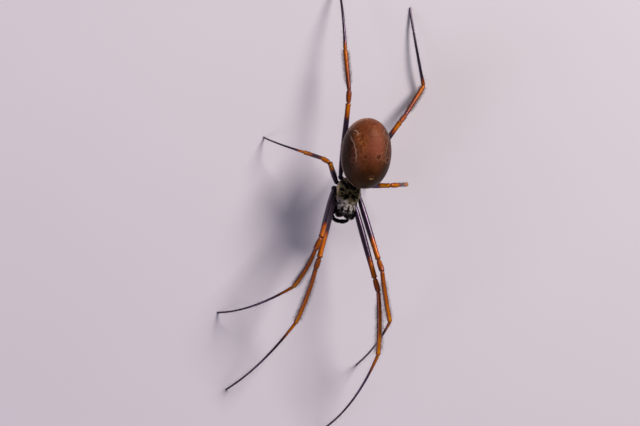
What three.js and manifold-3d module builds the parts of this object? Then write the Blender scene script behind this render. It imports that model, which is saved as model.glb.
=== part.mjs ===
// A female golden silk orb weaver, life size, standing still on its eight feet.
// Millimetres, +Z up. The head points to -Y, so the spider's left side is at +X.
import * as THREE from "three";
import { mergeVertices } from "three/addons/utils/BufferGeometryUtils.js";
import Module from "manifold-3d";

const wasm = await Module();
wasm.setup();

// Driving sizes of the body
const gap = 0.3; // between two pieces that meet
const eyeGap = 0.12; // between an eye and its socket
const hipHeight = 12; // of the leg roots above the floor
const marginAboveHips = 1.1; // from the leg roots up to the margin of the carapace
const prosoma = {
  length: 9.2,
  thoraxWidth: 6.1,
  headWidth: 4.6,
  thoraxHeight: 2.1, // above the margin of the carapace
  headHeight: 2.75,
  coreWidth: 3.3, // of the body under the carapace, between the leg roots
  coreDepth: 1.9,
  centre: [-0.75, -1.7],
  turn: 8, // degrees, head towards the spider's right
};
const abdomen = {
  length: 18,
  width: 12.7,
  height: 11.8,
  centre: [2.4, 9.5, 18.9],
  pitch: 12, // degrees, rear end up
};
const chelicera = { length: 3.5, radii: [0.62, 0.74, 0.78, 0.7, 0.56] };
const sternum = { length: 4.6, width: 3.1, thickness: 0.7 };
const eyeRadius = { median: 0.27, lateral: 0.24 };

// Lengths of the four leg pairs, hip to toe, and their thickness beside that of the first pair
const pairs = [
  { femur: 19.4, patella: 3.6, tibia: 16.5, foot: 27.2, thickness: 1 },
  { femur: 17.2, patella: 3.5, tibia: 12.8, foot: 23.6, thickness: 0.97 },
  { femur: 8.4, patella: 2.7, tibia: 6.4, foot: 13.9, thickness: 0.86 },
  { femur: 18.5, patella: 3.2, tibia: 10.6, foot: 20.0, thickness: 0.95 },
];

// How each leg is held. The hip is a place beside the middle of the prosoma, outward and rearward.
// A pair of numbers for a segment is heading and pitch in degrees: heading 0 is to the rear, 90 to
// the spider's left, 180 ahead; pitch is up from level. The foot has a heading only, because it
// reaches down to the floor. Its bow sideways and its rise are shares of its length.
const stances = {
  leg_1_right: {
    hip: [3.1, -0.7],
    femur: [-155.5, 36.5],
    patella: [-172.5, -36],
    tibia: [-168, -29],
    foot: { heading: -141, bow: 0.014, rise: 0.1 },
  },
  leg_1_left: {
    hip: [2.3, -1.45],
    femur: [167, 15],
    patella: [167.5, 16],
    tibia: [176.5, -11.5],
    foot: { heading: -153.5, bow: 0.028, rise: 0.1 },
  },
  leg_2_right: {
    hip: [3.5, 1.6],
    femur: [-152.5, 41],
    patella: [-159, -15],
    tibia: [-160, -36.5],
    foot: { heading: -115.5, bow: 0.035, rise: 0.1 },
  },
  leg_2_left: {
    hip: [3.0, 0.9],
    femur: [166, 18.5],
    patella: [169.5, 34],
    tibia: [170.5, 1.5],
    foot: { heading: -165, bow: 0.018, rise: 0.03 },
  },
  leg_3_right: {
    hip: [3.2, 3.3],
    femur: [-32, 44.5],
    patella: [-55.5, -48],
    tibia: [-69.5, -56.5],
    foot: { heading: -68, bow: 0.02, rise: 0.1 },
  },
  leg_3_left: {
    hip: [3.2, 3.3],
    femur: [87, 44],
    patella: [88, -25],
    tibia: [92, -55.5],
    foot: { heading: -89.5, bow: 0.02, rise: 0.1 },
  },
  leg_4_right: {
    hip: [2.3, 4.7],
    femur: [5.3, 0.6],
    patella: [5, -8],
    tibia: [-3, -14],
    foot: { heading: 0, bow: 0, rise: 0.08 },
  },
  leg_4_left: {
    hip: [2.3, 4.7],
    femur: [38.5, -8.5],
    patella: [50, -42],
    tibia: [39.5, -27],
    foot: { heading: -9.5, bow: 0.02, rise: 0.06 },
  },
};
const toeHeight = -0.05; // of the middle of a toe's end, which the floor cuts flat

// Radii of the first leg pair along each segment, from its near end to its far end
const legRadii = {
  femur: [0.52, 0.72, 0.8, 0.82, 0.8, 0.75, 0.69, 0.69],
  tibia: [0.6, 0.69, 0.7, 0.6, 0.51, 0.55, 0.58, 0.59, 0.6, 0.57], // the patella is the first third
  foot: [0.46, 0.36, 0.32, 0.3, 0.28, 0.26, 0.25, 0.26, 0.24],
};
const trochanterRadius = 0.7;
const shinBend = 0.8; // how far from the joint of patella and tibia their bend begins

// The brush of bristles along both flanks of a tibia, as wide flat locks that lean to the foot.
// Its ends are shares of the curve through patella and tibia.
const brush = {
  from: 0.69,
  to: 0.965,
  spacing: 1.1,
  height: { 1: 0.8, 2: 0.85, 4: 1.05 }, // above the skin, for each leg pair that has one
  width: 1.35,
  thickness: 0.52,
  rootDepth: 0.75, // as a share of the leg's radius
  lean: 47, // degrees
  seed: 11,
};

// Palps: the places of their joints beside the middle of the prosoma, across, along and up
const palpJoints = {
  right: [
    [-1.6, -3.0, -1.9],
    [-3.15, -5.0, -1.6],
    [-2.0, -6.2, -1.6],
    [0.2, -6.4, -1.7],
    [1.45, -5.75, -1.9],
    [1.0, -5.1, -2.2],
  ],
  left: [
    [1.6, -3.0, -1.9],
    [2.5, -4.2, -1.5],
    [2.45, -4.9, -1.7],
    [2.35, -5.0, -3.0],
    [2.1, -4.9, -4.2],
  ],
};
const palpRadii = { femur: [0.34, 0.42, 0.38], tip: [0.38, 0.4, 0.36, 0.4, 0.42, 0.3, 0.14] };

const colours = {
  carapace: 0x6f675c,
  abdomen: 0x6b3a26,
  cuticle: 0x2a1a1e,
  amber: 0xc8641e,
  eye: 0x08080a,
};

const degrees = THREE.MathUtils.degToRad;
const up = new THREE.Vector3(0, 0, 1);

// Solids

function toSolid(geometry) {
  const bare = geometry.clone();
  bare.deleteAttribute("normal");
  bare.deleteAttribute("uv");
  const merged = mergeVertices(bare, 1e-4);
  return new wasm.Manifold(
    new wasm.Mesh({
      numProp: 3,
      vertProperties: new Float32Array(merged.attributes.position.array),
      triVerts: new Uint32Array(merged.index.array),
    }),
  );
}

// The largest closed surface of a solid, as a geometry.
function toGeometry(solid) {
  const largest = solid.decompose().sort((a, b) => b.volume() - a.volume())[0];
  const mesh = largest.getMesh();
  const places = new Float32Array(mesh.numVert * 3);
  for (let i = 0; i < mesh.numVert; i++) {
    places.set(mesh.vertProperties.subarray(i * mesh.numProp, i * mesh.numProp + 3), i * 3);
  }
  return new THREE.BufferGeometry()
    .setAttribute("position", new THREE.BufferAttribute(places, 3))
    .setIndex(new THREE.BufferAttribute(new Uint32Array(mesh.triVerts), 1));
}

const joined = (solids) => solids.reduce((whole, solid) => whole.add(solid));
const without = (solid, others) => others.reduce((rest, other) => rest.subtract(other), solid);

// Every vertex of a geometry taken to the place that a function gives for it.
function reshaped(geometry, place) {
  const position = geometry.attributes.position;
  const vertex = new THREE.Vector3();
  for (let i = 0; i < position.count; i++) {
    const moved = place(vertex.fromBufferAttribute(position, i).clone());
    position.setXYZ(i, moved.x, moved.y, moved.z);
  }
  return geometry;
}

// A rounded body lying along Y. A blunt of 2 is an ellipsoid, and more is squarer at the ends.
function lobe({ halfWidth, halfLength, top, bottom, blunt = 2, taper = 0, around = 24, along = 14 }) {
  return reshaped(new THREE.SphereGeometry(1, around, along), (v) => {
    const section = Math.hypot(v.x, v.z);
    const fullness = Math.pow(Math.max(0, 1 - Math.pow(Math.abs(v.y), blunt)), 1 / blunt);
    const across = section > 1e-6 ? v.x / section : 0;
    const raised = section > 1e-6 ? v.z / section : 0;
    const size = fullness * (1 + taper * v.y);
    return new THREE.Vector3(
      halfWidth * size * across,
      halfLength * v.y,
      (raised > 0 ? top : bottom) * size * raised,
    );
  });
}

function ball(centre, radius, around = 10, along = 6) {
  return new THREE.SphereGeometry(radius, around, along).translate(...centre);
}

// A value between the equally spaced entries of a list.
function along(list, t) {
  const at = THREE.MathUtils.clamp(t, 0, 1) * (list.length - 1);
  const before = Math.min(Math.floor(at), list.length - 2);
  return THREE.MathUtils.lerp(list[before], list[before + 1], at - before);
}

// A round limb along a curve. An end that has a plane lies flat on it, half a gap short of the joint,
// and an end without one is cut square.
function limb({ curve, radii, sides = 8, rings = 7, startPlane = null, endPlane = null }) {
  const profile = [new THREE.Vector2(0, 0)];
  for (let i = 0; i <= rings; i++) profile.push(new THREE.Vector2(along(radii, i / rings), i / rings));
  profile.push(new THREE.Vector2(0, 1));
  const startWay = curve.getTangent(0);
  const endWay = curve.getTangent(1);
  const mitre = (plane, offset, way, sign) =>
    plane ? (sign * gap * 0.5 - plane.dot(offset)) / plane.dot(way) : 0;
  return reshaped(new THREE.LatheGeometry(profile, sides), (v) => {
    const t = v.y;
    const tangent = curve.getTangent(t);
    const side = new THREE.Vector3().crossVectors(tangent, up).normalize();
    const dorsal = new THREE.Vector3().crossVectors(side, tangent);
    const offset = side.multiplyScalar(v.x).addScaledVector(dorsal, v.z);
    return curve
      .getPoint(t)
      .add(offset)
      .addScaledVector(tangent, mitre(startPlane, offset, startWay, 1) * (1 - t) ** 3)
      .addScaledVector(tangent, mitre(endPlane, offset, endWay, -1) * t ** 3);
  });
}

// Body

const bodyTurn = degrees(-prosoma.turn);
const marginHeight = hipHeight + marginAboveHips;

// Takes a place beside the middle of the prosoma, across, along and up from its margin, to the floor's frame.
function fromProsoma([across, rearward, raised]) {
  return new THREE.Vector3(across, rearward, raised)
    .applyAxisAngle(up, bodyTurn)
    .add(new THREE.Vector3(...prosoma.centre, marginHeight));
}

function onProsoma(geometry) {
  return geometry.rotateZ(bodyTurn).translate(...prosoma.centre, marginHeight);
}

// The cephalothorax: a domed thorax, the raised head before it, and the core between the leg roots.
function prosomaSolid(grow = 0) {
  const thorax = lobe({
    halfWidth: prosoma.thoraxWidth / 2 + grow,
    halfLength: prosoma.length * 0.4 + grow,
    top: prosoma.thoraxHeight + grow,
    bottom: 0.55 + grow,
    blunt: 2.3,
    around: 20,
    along: 10,
  }).translate(0, prosoma.length * 0.14, 0);
  const head = lobe({
    halfWidth: prosoma.headWidth / 2 + grow,
    halfLength: prosoma.length * 0.33 + grow,
    top: prosoma.headHeight + grow,
    bottom: 0.8 + grow,
    blunt: 3,
    taper: -0.06,
    around: 20,
    along: 10,
  }).translate(0, -prosoma.length * 0.16, 0);
  const core = lobe({
    halfWidth: prosoma.coreWidth / 2 + grow,
    halfLength: prosoma.length * 0.38 + grow,
    top: 0.6,
    bottom: prosoma.coreDepth + grow,
    blunt: 2.6,
    around: 14,
    along: 8,
  }).translate(0, prosoma.length * 0.08, 0);
  return joined([thorax, head, core].map((piece) => toSolid(onProsoma(piece))));
}

function abdomenSolid(grow = 0) {
  const [x, y, z] = abdomen.centre;
  return toSolid(
    lobe({
      halfWidth: abdomen.width / 2 + grow,
      halfLength: abdomen.length / 2 + grow,
      top: abdomen.height / 2 + 0.1 + grow,
      bottom: abdomen.height / 2 - 0.1 + grow,
      blunt: 2.1,
      around: 28,
      along: 20,
    })
      .rotateX(degrees(abdomen.pitch))
      .translate(x, y, z),
  );
}

const grownProsoma = prosomaSolid(gap);
const grownAbdomen = abdomenSolid(gap);

// The narrow waist runs from the rear of the cephalothorax up into the front underside of the abdomen.
function pedicelSolid(grow = 0) {
  const start = fromProsoma([0, prosoma.length * 0.36, -0.2]);
  const end = new THREE.Vector3(abdomen.centre[0] - 1.3, abdomen.centre[1] - 4.0, abdomen.centre[2] - 4.2);
  const middle = start.clone().lerp(end, 0.5).add(new THREE.Vector3(0, 0.2, -0.4));
  const stalk = toSolid(
    limb({
      curve: new THREE.QuadraticBezierCurve3(start, middle, end),
      radii: [0.7 + grow, 0.6 + grow, 0.8 + grow],
      sides: 10,
      rings: 5,
    }),
  );
  return without(stalk, [grownProsoma, grownAbdomen]);
}

// Six spinnerets and the small anal cone behind them, on one low mound under the abdomen's rear.
function spinneretsSolid() {
  const place = (across, rearward, raised) =>
    new THREE.Vector3(across, rearward, raised)
      .applyAxisAngle(new THREE.Vector3(1, 0, 0), degrees(abdomen.pitch))
      .add(new THREE.Vector3(...abdomen.centre));
  const root = [0, abdomen.length * 0.335, -abdomen.height * 0.335];
  const lean = 0.2; // how far a spinneret leans to the rear, beside how far it reaches down
  const cones = [
    { across: 0.55, rearward: -0.5, reach: 2.1, radius: 0.42 },
    { across: 0.3, rearward: 0.1, reach: 1.7, radius: 0.3 },
    { across: 0.55, rearward: 0.6, reach: 1.9, radius: 0.38 },
  ];
  const pieces = [toSolid(ball(place(root[0], root[1], root[2] - 0.2).toArray(), 1.25, 12, 8))];
  for (const { across, rearward, reach, radius } of cones) {
    for (const side of [-1, 1]) {
      const start = place(side * across, root[1] + rearward, root[2]);
      const end = place(side * across * 0.8, root[1] + rearward + reach * lean, root[2] - reach);
      const curve = new THREE.LineCurve3(start, end);
      pieces.push(toSolid(limb({ curve, radii: [radius, radius, radius * 0.6], sides: 6, rings: 2 })));
    }
  }
  const analStart = place(0, root[1] + 0.8, root[2] + 0.2);
  const analEnd = place(0, root[1] + 1.6, root[2] - 0.9);
  const analCone = new THREE.LineCurve3(analStart, analEnd);
  pieces.push(toSolid(limb({ curve: analCone, radii: [0.6, 0.5, 0.25], sides: 6, rings: 2 })));
  return without(joined(pieces), [grownAbdomen]);
}

// The sternum is a heart-shaped plate under the core, with the labium as a lip at its front.
function sternumSolid(grow = 0) {
  const plate = lobe({
    halfWidth: sternum.width / 2 + grow,
    halfLength: sternum.length / 2 + grow,
    top: sternum.thickness / 2 + grow,
    bottom: sternum.thickness / 2 + grow,
    blunt: 2.4,
    taper: -0.28,
    around: 14,
    along: 8,
  });
  const labium = lobe({
    halfWidth: 0.6 + grow,
    halfLength: 0.7 + grow,
    top: 0.3 + grow,
    bottom: 0.35 + grow,
    around: 10,
    along: 6,
  });
  const below = -prosoma.coreDepth - sternum.thickness / 2 + 0.15;
  plate.translate(0, prosoma.length * 0.1, below);
  labium.translate(0, prosoma.length * 0.1 - sternum.length / 2 - 0.25, below);
  return joined([plate, labium].map((piece) => toSolid(onProsoma(piece))));
}

// Eyes: two pairs in a square on the front of the head, and two on each outer front corner.
const eyes = [
  { name: "anterior_median", across: 0.42, rearward: -4.05, radius: eyeRadius.median, raised: 1.35 },
  { name: "posterior_median", across: 0.52, rearward: -3.45, radius: eyeRadius.median, raised: 2.1 },
  { name: "anterior_lateral", across: 1.62, rearward: -3.75, radius: eyeRadius.lateral, raised: 1.15 },
  { name: "posterior_lateral", across: 1.72, rearward: -3.25, radius: eyeRadius.lateral, raised: 1.55 },
];

function eyePlaces() {
  return eyes.flatMap(({ name, across, rearward, raised, radius }) =>
    [["left", 1], ["right", -1]].map(([side, sign]) => ({
      name: `eye_${name}_${side}`,
      centre: fromProsoma([sign * across, rearward, raised]).toArray(),
      radius,
    })),
  );
}

// The chelicerae hang from the front of the head, and a fang is folded in under the end of each.
function cheliceraCurve(sign) {
  return new THREE.QuadraticBezierCurve3(
    fromProsoma([sign * 0.98, -3.1, 0.3]),
    fromProsoma([sign * 1.12, -4.75, -1.4]),
    fromProsoma([sign * 0.92, -4.3, -0.1 - chelicera.length]),
  );
}

function cheliceraSolid(sign, grow = 0) {
  const curve = cheliceraCurve(sign);
  const radii = chelicera.radii.map((radius) => radius + grow);
  const stem = limb({ curve, radii, sides: 12, rings: 7 });
  return joined([toSolid(stem), toSolid(ball(curve.getPoint(1).toArray(), radii.at(-1), 12, 6))]);
}

function fangSolid(sign) {
  const tip = cheliceraCurve(sign).getPoint(1);
  const curve = new THREE.QuadraticBezierCurve3(
    tip.clone().add(new THREE.Vector3(sign * 0.3, 0, -0.2)),
    tip.clone().add(new THREE.Vector3(sign * 0.1, 0.2, -1.5)),
    tip.clone().add(new THREE.Vector3(-sign * 0.5, 1.5, -0.9)),
  );
  const fang = toSolid(limb({ curve, radii: [0.32, 0.3, 0.22, 0.08], sides: 7, rings: 6 }));
  return without(fang, [cheliceraSolid(sign, gap * 0.6)]);
}

// Limbs

// The plane that halves the bend between two directions, as a unit vector along the limb.
const mitrePlane = (before, after) => before.clone().add(after).normalize();

function direction([heading, pitch]) {
  const level = Math.cos(degrees(pitch));
  return new THREE.Vector3(
    Math.sin(degrees(heading)) * level,
    Math.cos(degrees(heading)) * level,
    Math.sin(degrees(pitch)),
  );
}

// The joints of one leg, from its hip to its toe, and the bowed line of its foot.
function legJoints(name) {
  const [, number, side] = name.split("_");
  const pair = pairs[number - 1];
  const sign = side === "left" ? 1 : -1;
  const stance = stances[name];
  const hip = fromProsoma([sign * stance.hip[0], stance.hip[1], hipHeight - marginHeight]);
  const knee = hip.clone().addScaledVector(direction(stance.femur), pair.femur);
  const shin = knee.clone().addScaledVector(direction(stance.patella), pair.patella);
  const ankle = shin.clone().addScaledVector(direction(stance.tibia), pair.tibia);
  const chord = pair.foot * (1 - 2.7 * stance.foot.rise ** 2);
  const drop = THREE.MathUtils.radToDeg(Math.asin((ankle.z - toeHeight) / chord));
  const footWay = direction([stance.foot.heading, -drop]);
  const toe = ankle.clone().addScaledVector(footWay, chord);
  const acrossFoot = new THREE.Vector3().crossVectors(footWay, up).normalize();
  const overFoot = new THREE.Vector3().crossVectors(acrossFoot, footWay);
  const arch = ankle
    .clone()
    .lerp(toe, 0.5)
    .addScaledVector(overFoot, 2 * stance.foot.rise * pair.foot)
    .addScaledVector(acrossFoot, -2 * stance.foot.bow * pair.foot);
  return { number: Number(number), pair, sign, stance, hip, knee, shin, ankle, toe, arch };
}

// The line through patella and tibia, with a short bend at the joint between them.
function shankCurve({ knee, shin, ankle }) {
  const towards = (end) => shin.clone().addScaledVector(end.clone().sub(shin).normalize(), shinBend);
  return new THREE.CatmullRomCurve3([knee, towards(knee), towards(ankle), ankle], false, "centripetal");
}

// The coxa is a short barrel under the carapace margin, and the trochanter the ball at its end.
function coxaSolid({ pair, sign, stance, hip }, grow = 0) {
  const start = fromProsoma([sign * prosoma.coreWidth * 0.3, stance.hip[1] * 0.72 + 0.25, -1.35]);
  const inner = hip.clone().lerp(start, 0.25);
  const barrel = limb({
    curve: new THREE.LineCurve3(start, inner),
    radii: [0.6 + grow, 0.74 + grow, 0.72 + grow],
    sides: 8,
    rings: 2,
  });
  return joined([toSolid(barrel), toSolid(ball(hip.toArray(), trochanterRadius * pair.thickness + grow))]);
}

function legSolids(leg) {
  const { pair, hip, knee, ankle, toe, arch } = leg;
  const thighCurve = new THREE.LineCurve3(hip, knee);
  const shinCurve = shankCurve(leg);
  const footCurve = new THREE.QuadraticBezierCurve3(ankle, arch, toe);
  const kneePlane = mitrePlane(thighCurve.getTangent(1), shinCurve.getTangent(0));
  const anklePlane = mitrePlane(shinCurve.getTangent(1), footCurve.getTangent(0));
  const radii = (segment) => legRadii[segment].map((radius) => radius * pair.thickness);
  const trochanter = toSolid(ball(hip.toArray(), trochanterRadius * pair.thickness + gap));
  const floor = toSolid(new THREE.BoxGeometry(400, 400, 10).translate(0, 0, -5));
  const thigh = limb({ curve: thighCurve, radii: radii("femur"), rings: 7, endPlane: kneePlane });
  const shank = limb({
    curve: shinCurve,
    radii: radii("tibia"),
    rings: 9,
    startPlane: kneePlane,
    endPlane: anklePlane,
  });
  const foot = limb({ curve: footCurve, radii: radii("foot"), rings: 10, startPlane: anklePlane });
  return {
    femur: without(toSolid(thigh), [trochanter]),
    tibia: toSolid(shank),
    foot: without(toSolid(foot), [floor]),
  };
}

// Draws between -1 and 1 that come out the same each time.
function seededDraws(seed) {
  let state = seed;
  return () => {
    state = (state * 16807) % 2147483647;
    return (2 * state) / 2147483647 - 1;
  };
}

// The locks of one tibia's brush. Each is a flattened cone, rooted in the shank and bent towards the foot.
function brushLocks(leg) {
  const height = brush.height[leg.number];
  if (!height) return [];
  const curve = shankCurve(leg);
  const draw = seededDraws(brush.seed * leg.number + leg.sign + 2);
  const stretch = curve.getPoint(brush.from).distanceTo(curve.getPoint(brush.to));
  const count = Math.round(stretch / brush.spacing);
  const locks = [];
  for (const flank of [-1, 1]) {
    for (let i = 0; i < count; i++) {
      const share = (i + 0.5 + 0.2 * draw()) / count;
      const t = THREE.MathUtils.lerp(brush.from, brush.to, share);
      const shank = curve.getTangent(t);
      const outward = new THREE.Vector3().crossVectors(shank, up).normalize().multiplyScalar(flank);
      const dorsal = new THREE.Vector3().crossVectors(shank, outward);
      const lean = degrees(brush.lean + 6 * draw());
      const way = outward.clone().addScaledVector(dorsal, 0.16 * draw()).normalize();
      const skin = along(legRadii.tibia, t) * leg.pair.thickness;
      const sunk = skin * brush.rootDepth;
      const fullness = 0.72 + 0.28 * Math.sin(Math.PI * share); // lowest at both ends of the brush
      const tall = sunk + height * fullness * (1 + 0.12 * draw());
      const root = curve.getPoint(t).addScaledVector(way, skin - sunk);
      const lock = reshaped(new THREE.ConeGeometry(1, 1, 4, 2), (v) => {
        const rise = v.y + 0.5;
        const swell = 1 + 1.8 * rise * (1 - rise);
        return root
          .clone()
          .addScaledVector(way, rise * tall)
          .addScaledVector(shank, rise ** 1.5 * tall * Math.tan(lean) + (v.x * swell * brush.width) / 2)
          .addScaledVector(dorsal, (v.z * swell * brush.thickness) / 2);
      });
      locks.push(toSolid(lock));
    }
  }
  return locks;
}

// A palp is held in two nodes: its femur, with the jaw plate that it grows from, and the bent end.
function palpSolids(side) {
  const [root, elbow, ...rest] = palpJoints[side].map(fromProsoma);
  const upperCurve = new THREE.LineCurve3(root, elbow);
  const lowerCurve = new THREE.CatmullRomCurve3([elbow, ...rest], false, "centripetal");
  const elbowPlane = mitrePlane(upperCurve.getTangent(1), lowerCurve.getTangent(0));
  const jawPlace = [side === "left" ? 1.35 : -1.35, -2.9, -2.15];
  const jawPlate = lobe({ halfWidth: 0.62, halfLength: 0.95, top: 0.45, bottom: 0.5, around: 10, along: 6 });
  const upper = limb({ curve: upperCurve, radii: palpRadii.femur, rings: 3, endPlane: elbowPlane });
  const lower = limb({ curve: lowerCurve, radii: palpRadii.tip, rings: 12, startPlane: elbowPlane });
  return {
    upper: joined([upper, onProsoma(jawPlate.translate(...jawPlace))].map(toSolid)),
    lower: toSolid(lower),
  };
}

// Assembly

const spider = new THREE.Group();
spider.name = "golden_silk_orb_weaver";

function add(name, solid, colour, roughness) {
  const material = new THREE.MeshStandardMaterial({ color: colour, roughness, metalness: 0 });
  const mesh = new THREE.Mesh(toGeometry(solid), material);
  mesh.name = name;
  spider.add(mesh);
}

const legs = Object.keys(stances).map((name) => ({ name, ...legJoints(name) }));
const chelicerae = [-1, 1].map((sign) => cheliceraSolid(sign));
const grownChelicerae = [-1, 1].map((sign) => cheliceraSolid(sign, gap));
const places = eyePlaces();
const sockets = places.map(({ centre, radius }) => toSolid(ball(centre, radius + eyeGap)));

add("cephalothorax", without(prosomaSolid(), sockets), colours.carapace, 0.7);
add("abdomen", abdomenSolid(), colours.abdomen, 0.35);
add("pedicel", pedicelSolid(), colours.cuticle, 0.5);
add("spinnerets", spinneretsSolid(), colours.cuticle, 0.5);
for (const { name, centre, radius } of places) {
  add(name, toSolid(ball(centre, radius, 10, 7)), colours.eye, 0.1);
}

["right", "left"].forEach((side, i) => {
  const sign = side === "left" ? 1 : -1;
  const other = grownChelicerae[1 - i];
  add(`chelicera_${side}`, without(chelicerae[i], [grownProsoma, other]), colours.cuticle, 0.4);
  add(`fang_${side}`, fangSolid(sign), colours.cuticle, 0.25);
});

add("sternum", without(sternumSolid(), [grownProsoma]), colours.cuticle, 0.5);

const grownSternum = sternumSolid(gap);
const grownPedicel = pedicelSolid(gap);
const grownCoxae = new Map(legs.map((leg) => [leg.name, coxaSolid(leg, gap)]));
const segments = new Map(legs.map((leg) => [leg.name, legSolids(leg)]));
for (const leg of legs) {
  const own = segments.get(leg.name);
  const others = legs
    .flatMap(({ name }) => Object.values(segments.get(name)))
    .filter((solid) => solid !== own.tibia);
  const clearOf = (lock) => others.every((other) => lock.minGap(other, gap) >= gap);
  own.tibia = joined([own.tibia, ...brushLocks(leg).filter(clearOf)]);
}
for (const leg of legs) {
  const side = leg.sign > 0 ? "left" : "right";
  const ahead = leg.number > 1 ? [grownCoxae.get(`leg_${leg.number - 1}_${side}`)] : [];
  const coxa = without(coxaSolid(leg), [grownProsoma, grownSternum, grownPedicel, ...ahead]);
  const { femur, tibia, foot } = segments.get(leg.name);
  add(`${leg.name}_coxa`, coxa, colours.cuticle, 0.45);
  add(`${leg.name}_femur`, femur, colours.cuticle, 0.45);
  add(`${leg.name}_tibia`, tibia, colours.amber, 0.45);
  add(`${leg.name}_foot`, foot, colours.cuticle, 0.45);
}

for (const side of ["right", "left"]) {
  const { upper, lower } = palpSolids(side);
  const around = [grownProsoma, grownSternum, ...grownChelicerae, grownCoxae.get(`leg_1_${side}`)];
  add(`palp_${side}_femur`, without(upper, around), colours.cuticle, 0.45);
  add(`palp_${side}_tip`, without(lower, grownChelicerae), colours.cuticle, 0.45);
}

// The origin goes to the middle of the floor that the whole spider covers.
const reach = new THREE.Box3().setFromObject(spider);
const middle = reach.getCenter(new THREE.Vector3());
spider.position.set(-middle.x, -middle.y, 0);

export default spider;
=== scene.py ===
# A female golden silk orb weaver, life size, standing still on its eight feet.
import math

import bpy
import numpy as np
from mathutils import Matrix, Vector


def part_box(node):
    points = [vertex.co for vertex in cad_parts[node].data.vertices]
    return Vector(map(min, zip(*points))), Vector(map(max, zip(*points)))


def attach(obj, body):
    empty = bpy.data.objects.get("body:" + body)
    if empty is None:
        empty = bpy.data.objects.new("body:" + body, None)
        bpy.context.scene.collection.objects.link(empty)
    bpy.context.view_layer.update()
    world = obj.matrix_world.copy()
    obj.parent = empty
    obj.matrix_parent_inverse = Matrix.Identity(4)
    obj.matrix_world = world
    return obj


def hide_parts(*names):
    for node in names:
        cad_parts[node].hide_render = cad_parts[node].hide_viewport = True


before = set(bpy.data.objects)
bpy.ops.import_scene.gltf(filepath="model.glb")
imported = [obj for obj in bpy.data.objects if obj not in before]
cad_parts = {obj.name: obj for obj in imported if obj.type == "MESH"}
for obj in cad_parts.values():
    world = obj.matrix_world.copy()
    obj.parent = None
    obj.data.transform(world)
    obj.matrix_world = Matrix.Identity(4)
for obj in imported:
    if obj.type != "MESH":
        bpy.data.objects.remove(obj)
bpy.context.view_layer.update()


# Carapace
# The shield over the front half of the body is one plate of hard cuticle, nearly black under its coat.
# It grew in one piece, with a raised head, a groove behind the head and a pit in the middle of the back.
# Lengths here and below are in millimetres: across to the spider's left, rearward, and up from the margin.

MM = 0.001
HEAD_TURN = math.radians(-8)  # the head points a little to the spider's right
EYES = {  # across, rearward and up, and radius, of the left eye of each pair
    "anterior_median": ((0.42, -4.05, 1.35), 0.27),
    "posterior_median": ((0.52, -3.45, 2.1), 0.27),
    "anterior_lateral": ((1.62, -3.75, 1.15), 0.24),
    "posterior_lateral": ((1.72, -3.25, 1.55), 0.24),
}


def rotated(a, b, angle):
    cos, sin = math.cos(angle), math.sin(angle)
    return a * cos - b * sin, a * sin + b * cos


def turned(places):
    """Places beside the carapace, turned as the spider stands."""
    x, y, z = np.moveaxis(np.asarray(places, float), -1, 0)
    return np.stack([*rotated(x, y, HEAD_TURN), z], -1)


def middle_of(node):
    """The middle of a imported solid, in millimetres."""
    low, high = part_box(node)
    return (np.array(low) + np.array(high)) / 2 / MM


CARAPACE_MIDDLE = middle_of("eye_anterior_median_left") - turned(EYES["anterior_median"][0])


def on_body(places):
    return turned(places) + CARAPACE_MIDDLE


def rise(value, start, end):
    """0 before start, 1 after end, and a soft step between."""
    t = np.clip((value - start) / (end - start), 0, 1)
    return t * t * (3 - 2 * t)


def bump(distance, width):
    return np.exp(-((distance / width) ** 2))


def swelling(y, middle, half_length, blunt):
    """The share of its full size, at y, that a body rounded at both ends has."""
    u = np.clip(np.abs((y - middle) / half_length), 0, 1)
    return (1 - u**blunt) ** (1 / blunt)


def larger(a, b, soft=12):
    return (a**soft + b**soft) ** (1 / soft)


def crowded_ends(count, inset):
    """Numbers from nearly -1 to nearly 1 that stand closer together at both ends."""
    return -np.cos(np.pi * (np.arange(count) + inset) / (count - 1 + 2 * inset))


def turns(sides):
    """Equal turns round a ring."""
    return 2 * np.pi * np.arange(sides) / sides


def unit(ways):
    return ways / (np.linalg.norm(ways, axis=-1, keepdims=True) + 1e-12)


def facing_out(rings):
    """Unit directions out of a shell at each of its places, and along it from ring to ring."""
    along = np.gradient(rings, axis=0)
    around = (np.roll(rings, -1, axis=1) - np.roll(rings, 1, axis=1)) / 2
    out = unit(np.cross(around, along))
    outward = (out * (rings - rings.mean(1, keepdims=True))).sum()
    return out * np.sign(outward), unit(along)


def stacked(x, y, z):
    return np.stack(np.broadcast_arrays(x, y, z), -1)


def mesh_of(name, places, corners, sizes, marks):
    """A smooth mesh object from flat lists, with its marks as attributes of its points."""
    mesh = bpy.data.meshes.new(name)
    mesh.vertices.add(len(places))
    mesh.vertices.foreach_set("co", (places * MM).astype(np.float32).ravel())
    mesh.loops.add(len(corners))
    mesh.loops.foreach_set("vertex_index", corners.astype(np.int32))
    mesh.polygons.add(len(sizes))
    mesh.polygons.foreach_set("loop_start", (np.cumsum(sizes) - sizes).astype(np.int32))
    mesh.update(calc_edges=True)
    mesh.shade_smooth()
    for mark, values in marks.items():
        mesh.attributes.new(mark, "FLOAT", "POINT").data.foreach_set("value", values.astype(np.float32))
    piece = bpy.data.objects.new(name, mesh)
    bpy.context.scene.collection.objects.link(piece)
    return piece


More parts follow.
